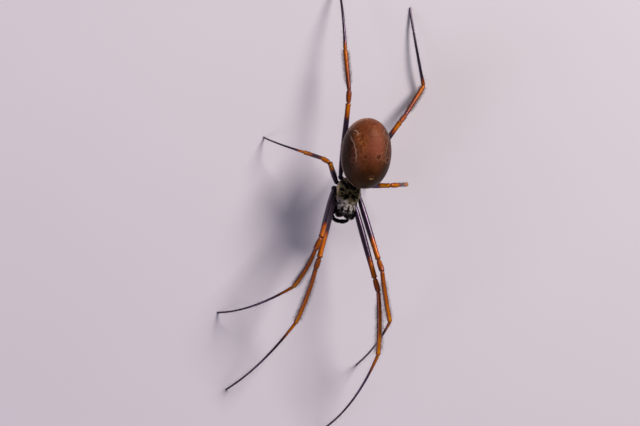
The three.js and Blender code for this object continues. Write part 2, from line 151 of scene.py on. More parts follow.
def closed_skin(name, shells):
    """One object of closed shells. Each shell is its rings of places and a dictionary of marks on them."""
    places, corners, sizes, marks = [], [], [], {}
    start = 0
    for rings, shell_marks in shells:
        count, sides = rings.shape[:2]
        here = np.arange(count * sides).reshape(count, sides)
        after = np.roll(here, -1, axis=1)
        first, last = (np.full(sides, count * sides + end) for end in (0, 1))
        quads = np.stack([here[:-1], after[:-1], after[1:], here[1:]], -1).reshape(-1, 4)
        groups = [quads, np.stack([first, after[0], here[0]], -1), np.stack([last, here[-1], after[-1]], -1)]
        shell = np.concatenate([rings.reshape(-1, 3), rings[0].mean(0)[None], rings[-1].mean(0)[None]])
        a, b, c = (shell[quads[:, n]] for n in (0, 1, 2))
        if (np.cross(b - a, c - a) * (a - shell.mean(0))).sum() < 0:
            groups = [faces[:, ::-1] for faces in groups]
        places.append(shell)
        corners += [(faces + start).ravel() for faces in groups]
        sizes += [np.full(len(faces), faces.shape[1]) for faces in groups]
        for mark, values in shell_marks.items():
            ends = [values.reshape(-1), [values[0].mean(), values[-1].mean()]]
            marks.setdefault(mark, []).append(np.concatenate(ends))
        start += len(shell)
    joined = {mark: np.concatenate(values) for mark, values in marks.items()}
    return mesh_of(name, np.concatenate(places), np.concatenate(corners), np.concatenate(sizes), joined)


def fitted(piece, finish, slot, *nodes):
    """Gives a piece its finish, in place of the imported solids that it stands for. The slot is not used."""
    piece.data.materials.append(finish)
    if nodes:
        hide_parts(*nodes)
    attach(piece, "root")


# Two rounded forms make the shield: middle rearward, half length and bluntness
THORAX, HEAD = (1.288, 3.68, 2.3), (-1.472, 3.036, 3)
PIT_PLACE = 1.2  # rearward, of the pit in the middle of the back
# What stands out from it on both sides: height, place across and its width, place rearward and its length
MOUNDS = [
    (-0.34, 0, 0.5, PIT_PLACE, 0.26),
    (0.16, 0.5, 0.16, -0.35, 0.16),  # two small humps
    (0.1, 0, 0.9, -3.75, 0.6),  # the mound under the middle eyes
    (0.07, 2.0, 0.55, 1.9, 0.7),
    (0.06, 1.2, 0.4, -0.9, 0.5),
]


def carapace_form(y):
    """Half the width of the shield, and its height, at y."""
    thorax, head = swelling(y, *THORAX), swelling(y, *HEAD)
    head_taper = 1 - 0.06 * (y - HEAD[0]) / HEAD[1]
    return larger(3.02 * thorax, 2.28 * head * head_taper), larger(2.08 * thorax, 2.72 * head)


def beside_groove(side, y):
    """How far along the groove behind the head a place is, and how far aside of it."""
    return (side - 0.3) * 0.562 - (y - 0.9) * 0.828, (side - 0.3) * 0.828 + (y - 0.9) * 0.562


def carapace_relief(x, y, z):
    """How far the cuticle stands out, above the plain shield, at a place on its upper side."""
    side = np.abs(x)
    along_groove, from_groove = beside_groove(side, y)
    groove = rise(along_groove, -0.1, 0.5) * (1 - rise(along_groove, 2.7, 3.4))
    relief = -0.2 * bump(from_groove, 0.24) * groove
    for height, across, width, rearward, length in MOUNDS:
        relief += height * bump(side - across, width) * bump(y - rearward, length)
    away = np.hypot(x, y - PIT_PLACE)
    for degrees in (52, 88, 124):  # shallow furrows run from the pit to the gaps between the legs
        turn = math.radians(degrees)
        aside = side * math.cos(turn) + (y - PIT_PLACE) * math.sin(turn)
        forward = side * math.sin(turn) - (y - PIT_PLACE) * math.cos(turn)
        relief -= 0.09 * bump(aside, 0.2) * rise(forward, 0.5, 1.1) * (1 - rise(away, 2.3, 3.0))
    relief += 0.05 * bump(side, 0.35) * rise(y, -3.2, -2.4) * (1 - rise(y, -0.6, 0.4))
    relief -= 0.05 * bump(side, 0.1) * rise(-y, 3.9, 4.2)
    return relief * rise(z, 0.1, 0.7)


def carapace_rings(count=170, sides=144):
    y = 0.225 + 4.725 * crowded_ends(count, 0.35)
    width, top = carapace_form(y)
    boxy = 1 - 0.12 * (1 - rise(y, -1.5, 1.0))[:, None]
    sine, cosine = np.sin(turns(sides))[None], np.cos(turns(sides))[None]
    x = width[:, None] * np.sign(sine) * np.abs(sine) ** boxy
    under = (0.3 + 0.35 * (1 - rise(y, -2.5, -0.5)))[:, None]
    z = np.where(cosine > 0, top[:, None], under * (width[:, None] / 3) ** 0.5) * cosine
    rim = 0.045 * bump(z, 0.16) * rise(y, -3.5, -2.0)[:, None]
    rings = stacked(x * (1 + rim), y[:, None], z)
    out, _ = facing_out(rings)
    rings += out * carapace_relief(*np.moveaxis(rings, -1, 0))[..., None]
    for (across, rearward, up), radius in EYES.values():  # each eye stands half out of a shallow socket
        for side in (-1, 1):
            from_eye = rings - np.array([side * across, rearward, up])
            nearest = np.unravel_index(np.argmin(np.linalg.norm(from_eye, axis=-1)), from_eye.shape[:2])
            axis = out[nearest]
            height = from_eye @ axis
            aside = np.linalg.norm(from_eye - height[..., None] * axis, axis=-1)
            near = np.abs(height) < 1.0
            socket = (1 - rise(aside, radius * 0.9, radius + 0.32)) * (height + 0.02)
            lip = 0.06 * bump(aside - radius - 0.07, 0.06)
            rings += axis * ((lip - socket) * near)[..., None]
    return rings


# Bare black spots in the coat, the same on both sides: across, rearward, half width and half length
BARE_SPOTS = [
    (0.42, 0.28, 0.3, 0.22), (1.22, 0.12, 0.26, 0.24), (1.98, 0.75, 0.24, 0.34), (1.2, -1.68, 0.26, 0.24),
    (2.2, -1.22, 0.26, 0.2), (0.18, -1.35, 0.26, 0.2), (2.1, 1.75, 0.5, 0.36), (0.9, 2.4, 0.4, 0.55),
    (0.0, PIT_PLACE, 0.3, 0.4), (1.75, 3.2, 0.4, 0.4), (1.3, -3.25, 0.24, 0.45), (0.12, -3.35, 0.26, 0.42),
    (2.05, -3.45, 0.16, 0.3), (0.75, -2.5, 0.16, 0.2),
]


def silver_cover(x, y, z):
    """1 where hair covers the cuticle, 0 where it is bare; over the rear it is thinned to paint the abdomen's
    shadow.
    """
    side = np.abs(x)
    cover = rise(y, -3.98, -3.66) * rise(z, -0.1, 0.3)
    for across, rearward, half_width, half_length in BARE_SPOTS:
        away = np.hypot((side - across) / half_width, (y - rearward) / half_length)
        cover = cover * rise(away, 0.75, 1.25)
    along_groove, from_groove = beside_groove(side, y)
    groove = bump(from_groove, 0.36) * rise(along_groove, -0.2, 0.3) * (1 - rise(along_groove, 1.6, 2.5))
    fan = np.arctan2(side, -(y + 0.4))  # dark partings that fan out forward over the head
    partings = 0.5 + 0.5 * np.cos(fan * 12 + 0.6 * np.sin(y * 3))
    cover = cover * (1 - groove) * (1 - 0.85 * rise(partings, 0.56, 0.9) * rise(-y, 1.1, 1.8))
    away = np.hypot(x, y - PIT_PLACE)
    rays = 0.5 + 0.5 * np.cos(np.arctan2(side, y - PIT_PLACE) * 9)
    rays = rise(rays, 0.5, 0.9) * rise(away, 0.7, 1.2) * rise(y, -0.6, 0.2) * (1 - rise(side, 2.4, 2.8))
    # Painted shadow: the abdomen's shadow on the rear of the shield, drawn by taking the hair cover away
    painted_abdomen_shadow = rise(y, 1.2, 2.8) * bump(x - 0.4, 1.9)
    return cover * (1 - 0.8 * rays) * (1 - 0.9 * painted_abdomen_shadow)


def carapace_marks(local):
    x, y, z = np.moveaxis(local, -1, 0)
    ridge = rise(np.abs(x), 2.55, 2.86) * rise(y, -1.2, -0.4) * (1 - rise(y, 3.6, 4.4))
    ragged = 0.3 * np.sin(x * 3.1 + 1) + 0.15 * np.sin(x * 7.3)
    olive = rise(y + 0.35 * x + ragged, -1.8, -0.6)  # straw-coloured down, further forward on its left
    return {"silver": silver_cover(x, y, z), "olive": olive, "ridge": ridge}


def linear(colour):
    """An sRGB hex colour as the linear values that a shader takes."""
    channels = [int(colour[n : n + 2], 16) / 255 for n in (1, 3, 5)]
    return [c / 12.92 if c <= 0.04045 else ((c + 0.055) / 1.055) ** 2.4 for c in channels] + [1]


def new_finish(name):
    """A new material, and the function that adds a node to its empty tree."""
    material = bpy.data.materials.new(name)
    material.use_nodes = True
    tree = material.node_tree
    tree.nodes.clear()

    def add(kind, inputs=(), give=0, **settings):
        """Adds a node with its settings, its sockets filled with values, hex colours or links."""
        node = tree.nodes.new("ShaderNode" + kind)
        for setting, value in settings.items():
            setattr(node, setting, value)
        for socket, value in dict(inputs).items():
            if isinstance(value, bpy.types.NodeSocket):
                tree.links.new(value, node.inputs[socket])
            else:
                node.inputs[socket].default_value = linear(value) if isinstance(value, str) else value
        return node.outputs[give] if node.outputs else None

    return material, add


SHARE, ONE, OTHER, MIXED = 0, 6, 7, 2  # a Mix node's sockets for colours go by number, as their names repeat


def hair_colour(add, tone, silver, straw, pale):
    """Silver or straw-coloured hair in two tones, by the marks on the carapace, and pale along its ridge."""
    olive, ridge = (add("Attribute", give="Fac", attribute_name=mark) for mark in ("olive", "ridge"))
    silver, straw = (
        add("Mix", {SHARE: tone, ONE: dark, OTHER: light}, MIXED, data_type="RGBA")
        for dark, light in (silver, straw)
    )
    colour = add("Mix", {SHARE: olive, ONE: silver, OTHER: straw}, MIXED, data_type="RGBA")
    return add("Mix", {SHARE: ridge, ONE: colour, OTHER: pale}, MIXED, data_type="RGBA")


def carapace_cuticle():
    """Black sclerotised cuticle, finely pebbled, under a flat down of silver and straw-coloured hair.
    Bare places show as black glints and covered ones as matt silver or olive felt."""
    material, add = new_finish("carapace_cuticle")
    where = add("TexCoord", give="Object")
    silver = add("Attribute", give="Fac", attribute_name="silver")
    patches, down = (
        add("TexNoise", {"Vector": where, "Scale": 1 / (size * MM), "Detail": 4}) for size in (0.5, 0.09)
    )
    torn = {"Value": patches, "From Min": 0.3, "From Max": 0.7, "To Min": -0.28, "To Max": 0.24}
    torn = add("Math", {0: silver, 1: add("MapRange", torn)})
    edges = {"Value": torn, "From Min": 0.34, "From Max": 0.64}
    cover = add("MapRange", edges, interpolation_type="SMOOTHSTEP")
    black = add("Mix", {SHARE: patches, ONE: "#040203", OTHER: "#120906"}, MIXED, data_type="RGBA")
    felt = hair_colour(add, down, ("#8e837c", "#ddd4ce"), ("#2c2512", "#766a44"), "#c8a878")
    surface = add("BsdfPrincipled", {
        "Base Color": add("Mix", {SHARE: cover, ONE: black, OTHER: felt}, MIXED, data_type="RGBA"),
        "Roughness": add("MapRange", {"Value": cover, "To Min": 0.36, "To Max": 0.75}),
        "Normal": add("Bump", {"Height": down, "Distance": 0.03 * MM, "Strength": 0.7}),
        "Specular IOR Level": 0.1,
        "IOR": 1.35,
    })
    add("OutputMaterial", {"Surface": surface})
    return material


carapace_local = carapace_rings()
carapace = closed_skin("carapace", [(on_body(carapace_local), carapace_marks(carapace_local))])
fitted(carapace, carapace_cuticle(), "carapace", "cephalothorax")


# Underbody
# Between the leg roots the front half of the body is a soft-walled trunk that the carapace roofs over.
# It is tough folded membrane, dark brown, and the legs' first joints are set into its sides.

def trunk_rings(count=60, sides=64):
    y = 0.736 + 3.45 * crowded_ends(count, 0.4)
    size = swelling(y, 0.736, 3.496, 2.6)[:, None]
    angle = turns(sides)
    wall = 2.1 + 0.95 * bump(y - 0.9, 2.4)[:, None]
    x = wall * size * np.sin(angle) - 0.3 * bump(y - 0.9, 2.0)[:, None] * size  # it bulges to the right
    z = np.where(np.cos(angle) > 0, 0.6, 1.86) * size * np.cos(angle)
    folds = 0.03 * np.sin(y * 9)[:, None] * (np.cos(angle) < 0.4)
    return stacked(x * (1 + folds), y[:, None], z)


def mottled(name, patch, dark, light, gloss, detail=2, grain=None, edges=None):
    """A finish of two colours in patches of that size, or in clearer patches where they have edges.
    A grain is its size, depth and strength."""
    material, add = new_finish(name)
    where = add("TexCoord", give="Object")
    share = noise = add("TexNoise", {"Vector": where, "Scale": 1 / (patch * MM), "Detail": detail})
    if edges:
        share = add("MapRange", {"Value": noise, "From Min": edges[0], "From Max": edges[1]})
    sockets = {"Base Color": add("Mix", {SHARE: share, ONE: dark, OTHER: light}, MIXED, data_type="RGBA")}
    if grain:
        size, depth, strength = grain
        if size != patch:
            noise = add("TexNoise", {"Vector": where, "Scale": 1 / (size * MM), "Detail": detail})
        sockets["Normal"] = add("Bump", {"Height": noise, "Distance": depth * MM, "Strength": strength})
    add("OutputMaterial", {"Surface": add("BsdfPrincipled", {**sockets, **gloss})})
    return material


# Folded membrane, matt and dark, between the hard plates
trunk_membrane = mottled(
    "trunk_membrane", 0.35, "#0a0606", "#2a1b16", {"Roughness": 0.6, "Specular IOR Level": 0.3}, 4,
    (0.35, 0.08, 0.8),
)
trunk = closed_skin("trunk", [(on_body(trunk_rings()), {})])
fitted(trunk, trunk_membrane, "dark_cuticle")


# Sternum and labium
# The sternum is a heart-shaped plate of hard cuticle on the underside, between the eight leg roots.
# The labium is the small lip hinged to its front edge, under the mouth.

def plate_rings(half_width, half_length, thickness, taper, middle, blunt=2.4, count=50, sides=56):
    y = crowded_ends(count, 0.4)
    size = swelling(y, 0, 1.004, blunt)[:, None] * (1 + taper * y[:, None])
    angle = turns(sides)
    x = half_width * size * np.sin(angle)
    lobed = 1 - 0.05 * np.cos(6 * np.pi * y)[:, None] * np.abs(np.sin(angle)) ** 3
    z = thickness / 2 * size**0.5 * np.cos(angle)
    z -= 0.12 * bump(np.abs(x) - 0.45 * half_width, 0.2) * (np.cos(angle) < 0) * size
    return stacked(x * lobed, half_length * y[:, None], z) + middle


# Hard, slightly glossy cuticle, finely pebbled, dark brown with paler patches
plate_finish = mottled(
    "plate_cuticle", 1.1, "#140a09", "#5a3417", {"Roughness": 0.38}, 3, (0.12, 0.02, 0.6), (0.45, 0.7),
)
STERNUM_LEVEL = -2.1  # of the middle of its thickness
sternum = closed_skin("sternum_plate", [
    (on_body(plate_rings(1.5, 2.25, 0.66, -0.28, (0, 0.92, STERNUM_LEVEL))), {}),
    (on_body(plate_rings(0.58, 0.68, 0.62, 0, (0, -1.63, STERNUM_LEVEL), 2)), {}),
])
fitted(sternum, plate_finish, "dark_cuticle", "sternum")


# Eyes
# Eight simple eyes, each one clear round lens of cuticle over a dark cup, set in two rows of four.
# They are glassy black, the two in front a little browner.

def ball_rings(count, sides):
    """A ball of radius 1, from pole to pole."""
    turn = np.pi * (np.arange(count) + 0.5)[:, None] / count
    return stacked(np.sin(turn) * np.cos(turns(sides)), np.sin(turn) * np.sin(turns(sides)), np.cos(turn))


# Clear lens cuticle over a pigment cup: very smooth, so that it shows one sharp highlight
LENS_GLOSS = {"Roughness": 0.06, "Coat Weight": 1.0, "Coat Roughness": 0.03, "IOR": 1.55}
LENS_GROWTH = 1.04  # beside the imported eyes, so that the lens meets the rim of its socket
front_lens = mottled("front_eye_lens", 0.4, "#020202", "#2a120a", LENS_GLOSS)
side_lens = mottled("side_eye_lens", 0.4, "#020202", "#0d0606", LENS_GLOSS)
for pair, (place, radius) in EYES.items():
    for side, name in ((-1, "right"), (1, "left")):
        middle = on_body((side * place[0], *place[1:]))
        eye = closed_skin(f"lens_{pair}_{name}", [(middle + LENS_GROWTH * radius * ball_rings(24, 32), {})])
        fitted(eye, front_lens if pair == "anterior_median" else side_lens, "eye", f"eye_{pair}_{name}")


# Jaws
# Two stout chelicerae hang from the front of the head, each a hollow bulb of thick glossy cuticle.
# A curved fang of harder, dark red-brown cuticle is hinged to the end of each and folds in under it.

def arched(start, middle, end, count):
    """Places along the curve from start to end that leans towards middle."""
    t = np.linspace(0, 1, count)[:, None]
    return (1 - t) ** 2 * np.array(start) + 2 * t * (1 - t) * np.array(middle) + t**2 * np.array(end)


def rounded_ends(path, radii, start=True):
    """A limb's line and radii with half a ball added at its end, and at its start."""
    turn = np.linspace(0.08, 1, 7) * np.pi / 2
    way = unit(path[-1] - path[-2])
    path = np.concatenate([path, path[-1] + way * radii[-1] * np.sin(turn)[:, None]])
    radii = np.concatenate([radii, radii[-1] * np.maximum(np.cos(turn), 0.02)])
    if start:
        path, radii = rounded_ends(path[::-1], radii[::-1], False)
        path, radii = path[::-1], radii[::-1]
    return path, radii


def limb_rings(path, radii, sides=24, boxy=1.0):
    """Rings of a limb along a line, round, or squarer where boxy is under 1. Their places start at one side
    and pass over the top."""
    way = unit(np.gradient(path, axis=0))
    across = unit(np.cross(way, [0, 0, 1.0]))
    over = np.cross(across, way)
    angle = turns(sides)
    sideways, upward = (np.sign(part) * np.abs(part) ** boxy for part in (np.cos(angle), np.sin(angle)))
    section = across[:, None] * sideways[None, :, None] + over[:, None] * upward[None, :, None]
    return path[:, None] + section * np.asarray(radii)[:, None, None]


# Thick black cuticle, smooth and glossy, reddish where it thins
jaw_finish = mottled(
    "jaw_cuticle", 0.9, "#030202", "#100706", {"Roughness": 0.3, "Specular IOR Level": 0.1, "IOR": 1.25}, 3,
    (0.14, 0.012, 0.5),
)
# The hardest cuticle on the body, dark red-brown and polished
fang_gloss = {"Roughness": 0.14, "Coat Weight": 0.5, "Coat Roughness": 0.08}
fang_finish = mottled("fang_cuticle", 0.5, "#1a0605", "#5a1a0c", fang_gloss)
jaw_shells = []
for side, name in ((-1, "right"), (1, "left")):
    stem = arched((side * 1.0, -3.1, 0.3), (side * 1.16, -5.0, -1.3), (side * 0.95, -4.3, -3.6), 60)
    share = np.linspace(0, 1, 60)
    radii = np.interp(share, [0, 0.2, 0.45, 0.75, 1], [0.7, 0.92, 0.96, 0.78, 0.58])
    radii *= 1 + 0.07 * bump(share - 0.32, 0.12) - 0.04 * bump(share - 0.93, 0.03)
    jaw_rings = on_body(limb_rings(*rounded_ends(stem, radii, start=False), 40, 0.62))
    jaw_shells.append(jaw_rings)
    fitted(closed_skin(f"jaw_{name}", [(jaw_rings, {})]), jaw_finish, "dark_cuticle", f"chelicera_{name}")

    tip = on_body(stem[-1])
    fang_line = tip + arched((side * 0.3, 0, -0.2), (side * 0.1, 0.2, -1.5), (-side * 0.5, 1.5, -0.9), 40)
    fang_radii = np.interp(np.linspace(0, 1, 40), [0, 0.3, 0.7, 1], [0.31, 0.28, 0.17, 0.04])
    fang = closed_skin(f"jaw_fang_{name}", [(limb_rings(*rounded_ends(fang_line, fang_radii), 20), {})])
    fitted(fang, fang_finish, "dark_cuticle", f"fang_{name}")


# Abdomen
# The hind half of the body is an egg-shaped bag of thin leathery cuticle, full and smooth, with no plates.
# Muscles pull it in at small dark pits in rows along the back, and fine creases run between them.

ABDOMEN_MIDDLE = CARAPACE_MIDDLE + np.array([3.15, 11.2, 5.8])  # it hangs over to the left
ABDOMEN_PITCH = math.radians(12)  # rear end up
HALF_WIDTH, HALF_LENGTH, ABOVE, BELOW = 6.3, 8.95, 5.95, 5.75  # its size from the middle
# Pits in the back: across, rearward, radius and depth. Those on the right are faint.
PITS = [
    (1.75, 0.55, 0.42, 1.0), (4.35, -0.6, 0.36, 1.0), (1.45, -2.4, 0.13, 0.6), (1.35, 3.4, 0.13, 0.6),
    (0.45, -4.9, 0.28, 1.0), (-1.75, 0.55, 0.42, 0.4), (-4.35, -0.6, 0.36, 0.5), (-1.45, -2.4, 0.13, 0.3),
    (-1.35, 3.4, 0.13, 0.3), (-0.5, -4.9, 0.2, 0.3),
]


def in_pose(places):
    """Places beside the middle of the abdomen, tipped up as it is held."""
    x, y, z = np.moveaxis(np.asarray(places, float), -1, 0)
    return np.stack([x, *rotated(y, z, ABDOMEN_PITCH)], -1) + ABDOMEN_MIDDLE


def abdomen_rings(count=220, sides=200):
    y = crowded_ends(count, 0.3)
    size = swelling(y, 0, 1.0005, 2.1)[:, None]
    angle = turns(sides)
    x = HALF_WIDTH * size * np.sin(angle)
    z = np.where(np.cos(angle) > 0, ABOVE, BELOW) * size * np.cos(angle)
    return stacked(x, HALF_LENGTH * y[:, None], z)


def wavy(x, y, seed, shortest=0.8, longest=4.0, waves=9):
    """A gentle, uneven surface made of a few waves of different lengths, between -1 and 1."""
    draw = np.random.default_rng(seed)
    total = np.zeros_like(x)
    for _ in range(waves):
        length = draw.uniform(shortest, longest)
        heading, phase = draw.uniform(0, 2 * np.pi, 2)
        total += np.sin(2 * np.pi * (x * math.cos(heading) + y * math.sin(heading)) / length + phase)
    return total / waves


def pit_marks(local):
    """How deep the back is pitted, the dark rings of the pits, and their pale rims."""
    x, y, z = np.moveaxis(local, -1, 0)
    hollow, pits, rims = (np.zeros_like(x) for _ in range(3))
    for across, rearward, radius, depth in PITS:
        away = np.hypot(x - across, y - rearward)
        near = depth * rise(z, 0, 1.5)
        ring = bump(away - 0.9 * radius, 0.42 * radius) + 0.12 * bump(away, radius)
        hollow = np.maximum(hollow, bump(away, radius) * near)
        pits = np.maximum(pits, ring * near)
        rims = np.maximum(rims, bump(away - 1.75 * radius, 0.5 * radius) * near)
    return hollow, np.minimum(pits, 1), rims


def edge_line(local):
    """The pale wavy line that runs low along each side of the back, with a loop at its rear end.
    It is clear on the right and faint on the left."""
    x, y, z = np.moveaxis(local, -1, 0)
    side = np.abs(x)
    course = np.interp(y, [-1.2, -0.5, 0.3, 2.0, 3.6, 4.8, 5.6], [3.85, 3.79, 3.73, 3.91, 4.33, 4.84, 5.0])
    course = course + 0.07 * np.sin(y * 4.7 + 1)
    line = bump(side - course, 0.1) * rise(y, -1.2, 0.4) * (1 - rise(y, 4.4, 5.4))
    loop = bump(np.hypot(side - 3.75, (y - 6.05) * 1.25) - 0.5, 0.12) * (1 - rise(side - 0.6 * y, 0.0, 0.5))
    return np.maximum(line, loop) * rise(z, 0, 1.5) * np.where(x < 0, 1, 0.3)


plain_abdomen = abdomen_rings()
out, _ = facing_out(plain_abdomen)
hollow, pits, rims = pit_marks(plain_abdomen)
x, y, z = np.moveaxis(plain_abdomen, -1, 0)
back = z > 0
unevenness = 0.035 * wavy(x, y, 3) + 0.02 * wavy(y, z, 4, 0.5, 1.6)
waist_fold = -0.25 * bump(x, 2.2) * bump(y + 5.6, 0.22) * (z < 0)
abdomen_local = plain_abdomen + out * (unevenness - 0.12 * hollow + 0.03 * rims + waist_fold)[..., None]
creased = bump(np.abs(x) - 3.7, 1.5) * rise(y, -2.5, 0.5) * (1 - rise(y, 5.5, 7.5)) * back
abdomen_marks = {
    "pit": pits,
    "rim": rims,
    "glint": bump(x - 0.45, 0.42) * bump(y + 5.3, 0.13) * back,
    "edge_line": edge_line(abdomen_local),
    "underside": rise(-z, 1.0, 4.0),
    # darker olive-brown towards the front end: partly its own colour, partly painted shade where that end
    # faces down
    "front": rise(-y, -2.2, 5.6) * (z > -1),
    # painted shade on both flanks, heaviest on the right, the side away from the daylight
    "painted_flank_shade": rise(np.abs(x + 0.5), 2.6, 4.9) * np.where(x < 0, 1, 0.75),
    "rust": 0.9 * bump(x + 2.7 + 0.35 * (y - 4.5), 1.3) * bump(y - 4.4, 2.2) * back,
    # a painted highlight: a broad pale mauve patch on the back, where the daylight would shine
    "painted_highlight": bump(x - 1.5, 2.6) * bump(y - 2.8, 3.6) * back,
    "crease": creased * np.where(x < 0, 0.25, 0.6),
}


def abdomen_leather():
    """Thin leathery cuticle, maroon-brown and satin, mottled, with fine pale creases; painted shade on its
    flanks and partly on its front end, a painted highlight on its back.
    """
    material, add = new_finish("abdomen_leather")
    where = add("TexCoord", give="Object")
    blotches, flecks, threads = (
        add("TexNoise", {"Vector": where, "Scale": 1 / (size * MM), "Detail": 4}) for size in (2.4, 0.5, 0.14)
    )
    stray = add("TexNoise", {"Vector": where, "Scale": 1 / (0.6 * MM), "Detail": 4}, "Color")
    bent = add("VectorMath", {0: stray, 1: (0.9 * MM,) * 3}, operation="MULTIPLY")
    bent = add("VectorMath", {0: where, 1: bent}, operation="ADD")
    # The real creases are some 0.15 mm apart, too fine to show here, so they are drawn at 0.45 mm.
    net = add("TexVoronoi", {"Vector": bent, "Scale": 1 / (0.45 * MM)}, feature="DISTANCE_TO_EDGE")
    crease, broken, patchy, speckled, uneven, broken_line, rusty, dullness = (
        add("MapRange", {"Value": source, "From Min": low, "From Max": high, "To Min": first, "To Max": last})
        for source, low, high, first, last in (
            (net, 0.0, 0.11, 1, 0), (flecks, 0.4, 0.6, 0, 1), (blotches, 0.36, 0.64, 0, 1),
            (flecks, 0.4, 0.8, 0, 0.55), (flecks, 0.3, 0.7, 1.15, 0.78), (threads, 0.3, 0.6, 0.2, 0.85),
            (flecks, 0.44, 0.62, 0, 0.9), (flecks, 0.3, 0.7, 0.4, 0.52),
        )
    )
    crease = add("Math", {0: crease, 1: broken}, operation="MULTIPLY")
    colour = add("Mix", {SHARE: patchy, ONE: "#4a1f0a", OTHER: "#6b3519"}, MIXED, data_type="RGBA")
    colour = add("Mix", {SHARE: speckled, ONE: colour, OTHER: "#8c4f2e"}, MIXED, data_type="RGBA")
    # Each mark on the skin, painted light and shade among them, what breaks it up, and its colour
    for mark, broken, tint in (
        ("painted_highlight", 0.72, "#8a4c3c"), ("rust", rusty, "#9a5c28"), ("front", 0.9, "#2b1b06"),
        ("painted_flank_shade", uneven, "#160901"), ("crease", crease, "#b98468"), ("edge_line", broken_line, "#c6a48e"),
        ("rim", 0.4, "#94604a"), ("pit", 0.85, "#2c1006"), ("glint", 0.9, "#c2a25c"),
        ("underside", 0.8, "#3a2816"),
    ):
        share = add("Attribute", give="Fac", attribute_name=mark)
        share = add("Math", {0: share, 1: broken}, operation="MULTIPLY", use_clamp=True)
        colour = add("Mix", {SHARE: share, ONE: colour, OTHER: tint}, MIXED, data_type="RGBA")
    height = add("Math", {0: threads, 1: 0.35}, operation="MULTIPLY")
    height = add("Math", {0: height, 1: flecks}, operation="ADD")
    surface = add("BsdfPrincipled", {
        "Base Color": colour,
        "Roughness": dullness,
        "Normal": add("Bump", {"Height": height, "Distance": 0.06 * MM, "Strength": 0.4}),
        "Specular IOR Level": 0.5,
        "Specular Tint": "#f6c0a4",
        "IOR": 1.3,
        "Subsurface Weight": 0.08,
        "Subsurface Radius": (0.5, 0.2, 0.1),
        "Subsurface Scale": 0.4 * MM,
    })
    add("OutputMaterial", {"Surface": surface})
    return material


abdomen = closed_skin("abdomen_skin", [(in_pose(abdomen_local), abdomen_marks)])
fitted(abdomen, abdomen_leather(), "abdomen_skin", "abdomen")


# Waist
# The narrow stalk that joins the two halves of the body, a short tube of flexible cuticle with one
# small plate on top. It rises from the rear of the carapace into the front underside of the abdomen.

waist_start = on_body((0, 3.1, -0.3))
waist_end = ABDOMEN_MIDDLE + np.array([-1.3, -3.7, -3.9])
waist_middle = (waist_start + waist_end) / 2 + np.array([0, 0.2, -0.4])
share = np.linspace(0, 1, 60)
waist_radii = np.interp(share, [0, 0.5, 1], [0.7, 0.58, 0.78]) * (1 + 0.05 * np.sin(share * 60))
waist_line = rounded_ends(arched(waist_start, waist_middle, waist_end, 60), waist_radii)
waist = closed_skin("waist", [(limb_rings(*waist_line), {})])
fitted(waist, trunk_membrane, "dark_cuticle", "pedicel")


# Spinnerets, vent and egg opening
# Six finger-like spinnerets in three pairs stand in a ring under the rear of the abdomen, each a jointed
# cone of hairy cuticle, with the small vent behind them. The egg opening is a dark raised plate far forward.

def spaced(share, values):
    """What a list of evenly spaced values comes to at that share of its length."""
    return np.interp(share, np.linspace(0, 1, len(values)), values)


def knuckled(start, end, radii, joints, count=40):
    """A cone in a few joints, as rings with a crease at each joint."""
    share = np.linspace(0, 1, count)
    path = np.array(start) + share[:, None] * (np.array(end) - np.array(start))
    size = spaced(share, radii)
    for joint in joints:
        size = size * (1 - 0.16 * bump(share - joint, 0.035))
    path, size = rounded_ends(path, size)
    return limb_rings(in_pose(path), size, 20)


REARWARD, UPWARD = 6.03, -3.95  # the middle of the group, beside the middle of the abdomen
shells = []
# Each pair's place across and rearward of the middle, its reach and its radius
SPINNERETS = [(0.55, -0.5, 2.1, 0.41), (0.3, 0.1, 1.7, 0.29), (0.55, 0.6, 1.9, 0.37)]
for across, further, reach, radius in SPINNERETS:
    for side in (-1, 1):
        root = (side * across, REARWARD + further, UPWARD + 0.5)
        end = (side * across * 0.8, REARWARD + further + reach * 0.2, UPWARD - reach * 0.86)
        shells.append((knuckled(root, end, [radius, radius, radius * 0.55], [0.45, 0.78]), {}))
vent_root, vent_end = (0, REARWARD + 0.8, UPWARD + 0.4), (0, REARWARD + 1.5, UPWARD - 0.7)
shells.append((knuckled(vent_root, vent_end, [0.6, 0.5, 0.25], [0.6]), {}))
mound = ball_rings(30, 40) * (1.2, 1.25, 1.1) + (0, REARWARD + 0.1, UPWARD - 0.05)
shells.append((in_pose(mound), {}))
# Dull dark brown cuticle, mottled with paler brown
spinneret_finish = mottled(
    "spinneret_cuticle", 0.5, "#1d100b", "#523424", {"Roughness": 0.55}, 4, (0.1, 0.03, 0.6),
)
fitted(closed_skin("spinneret_group", shells), spinneret_finish, "dark_cuticle", "spinnerets")

egg_plate_rings = plate_rings(1.05, 0.55, 0.5, 0.1, (0, -4.6, -4.92), 2.2)
fitted(closed_skin("egg_opening_plate", [(in_pose(egg_plate_rings), {})]), plate_finish, "dark_cuticle")


# Legs
# Eight legs of seven joints each, long thin tubes of cuticle. They are black on the thigh and foot and
# amber between, where the cuticle is thin enough for light to pass. The joints fold on dark hinge lines.

HIP_LEVEL = -1.1  # below the margin of the carapace
PAIRS = {  # lengths of thigh, knee, shin and foot, and thickness beside that of the first pair
    1: (19.4, 3.6, 16.5, 27.2, 1.0),
    2: (17.2, 3.5, 12.8, 23.6, 0.97),
    3: (8.4, 2.7, 6.4, 13.9, 0.86),
    4: (18.5, 3.2, 10.6, 20.0, 0.95),
}
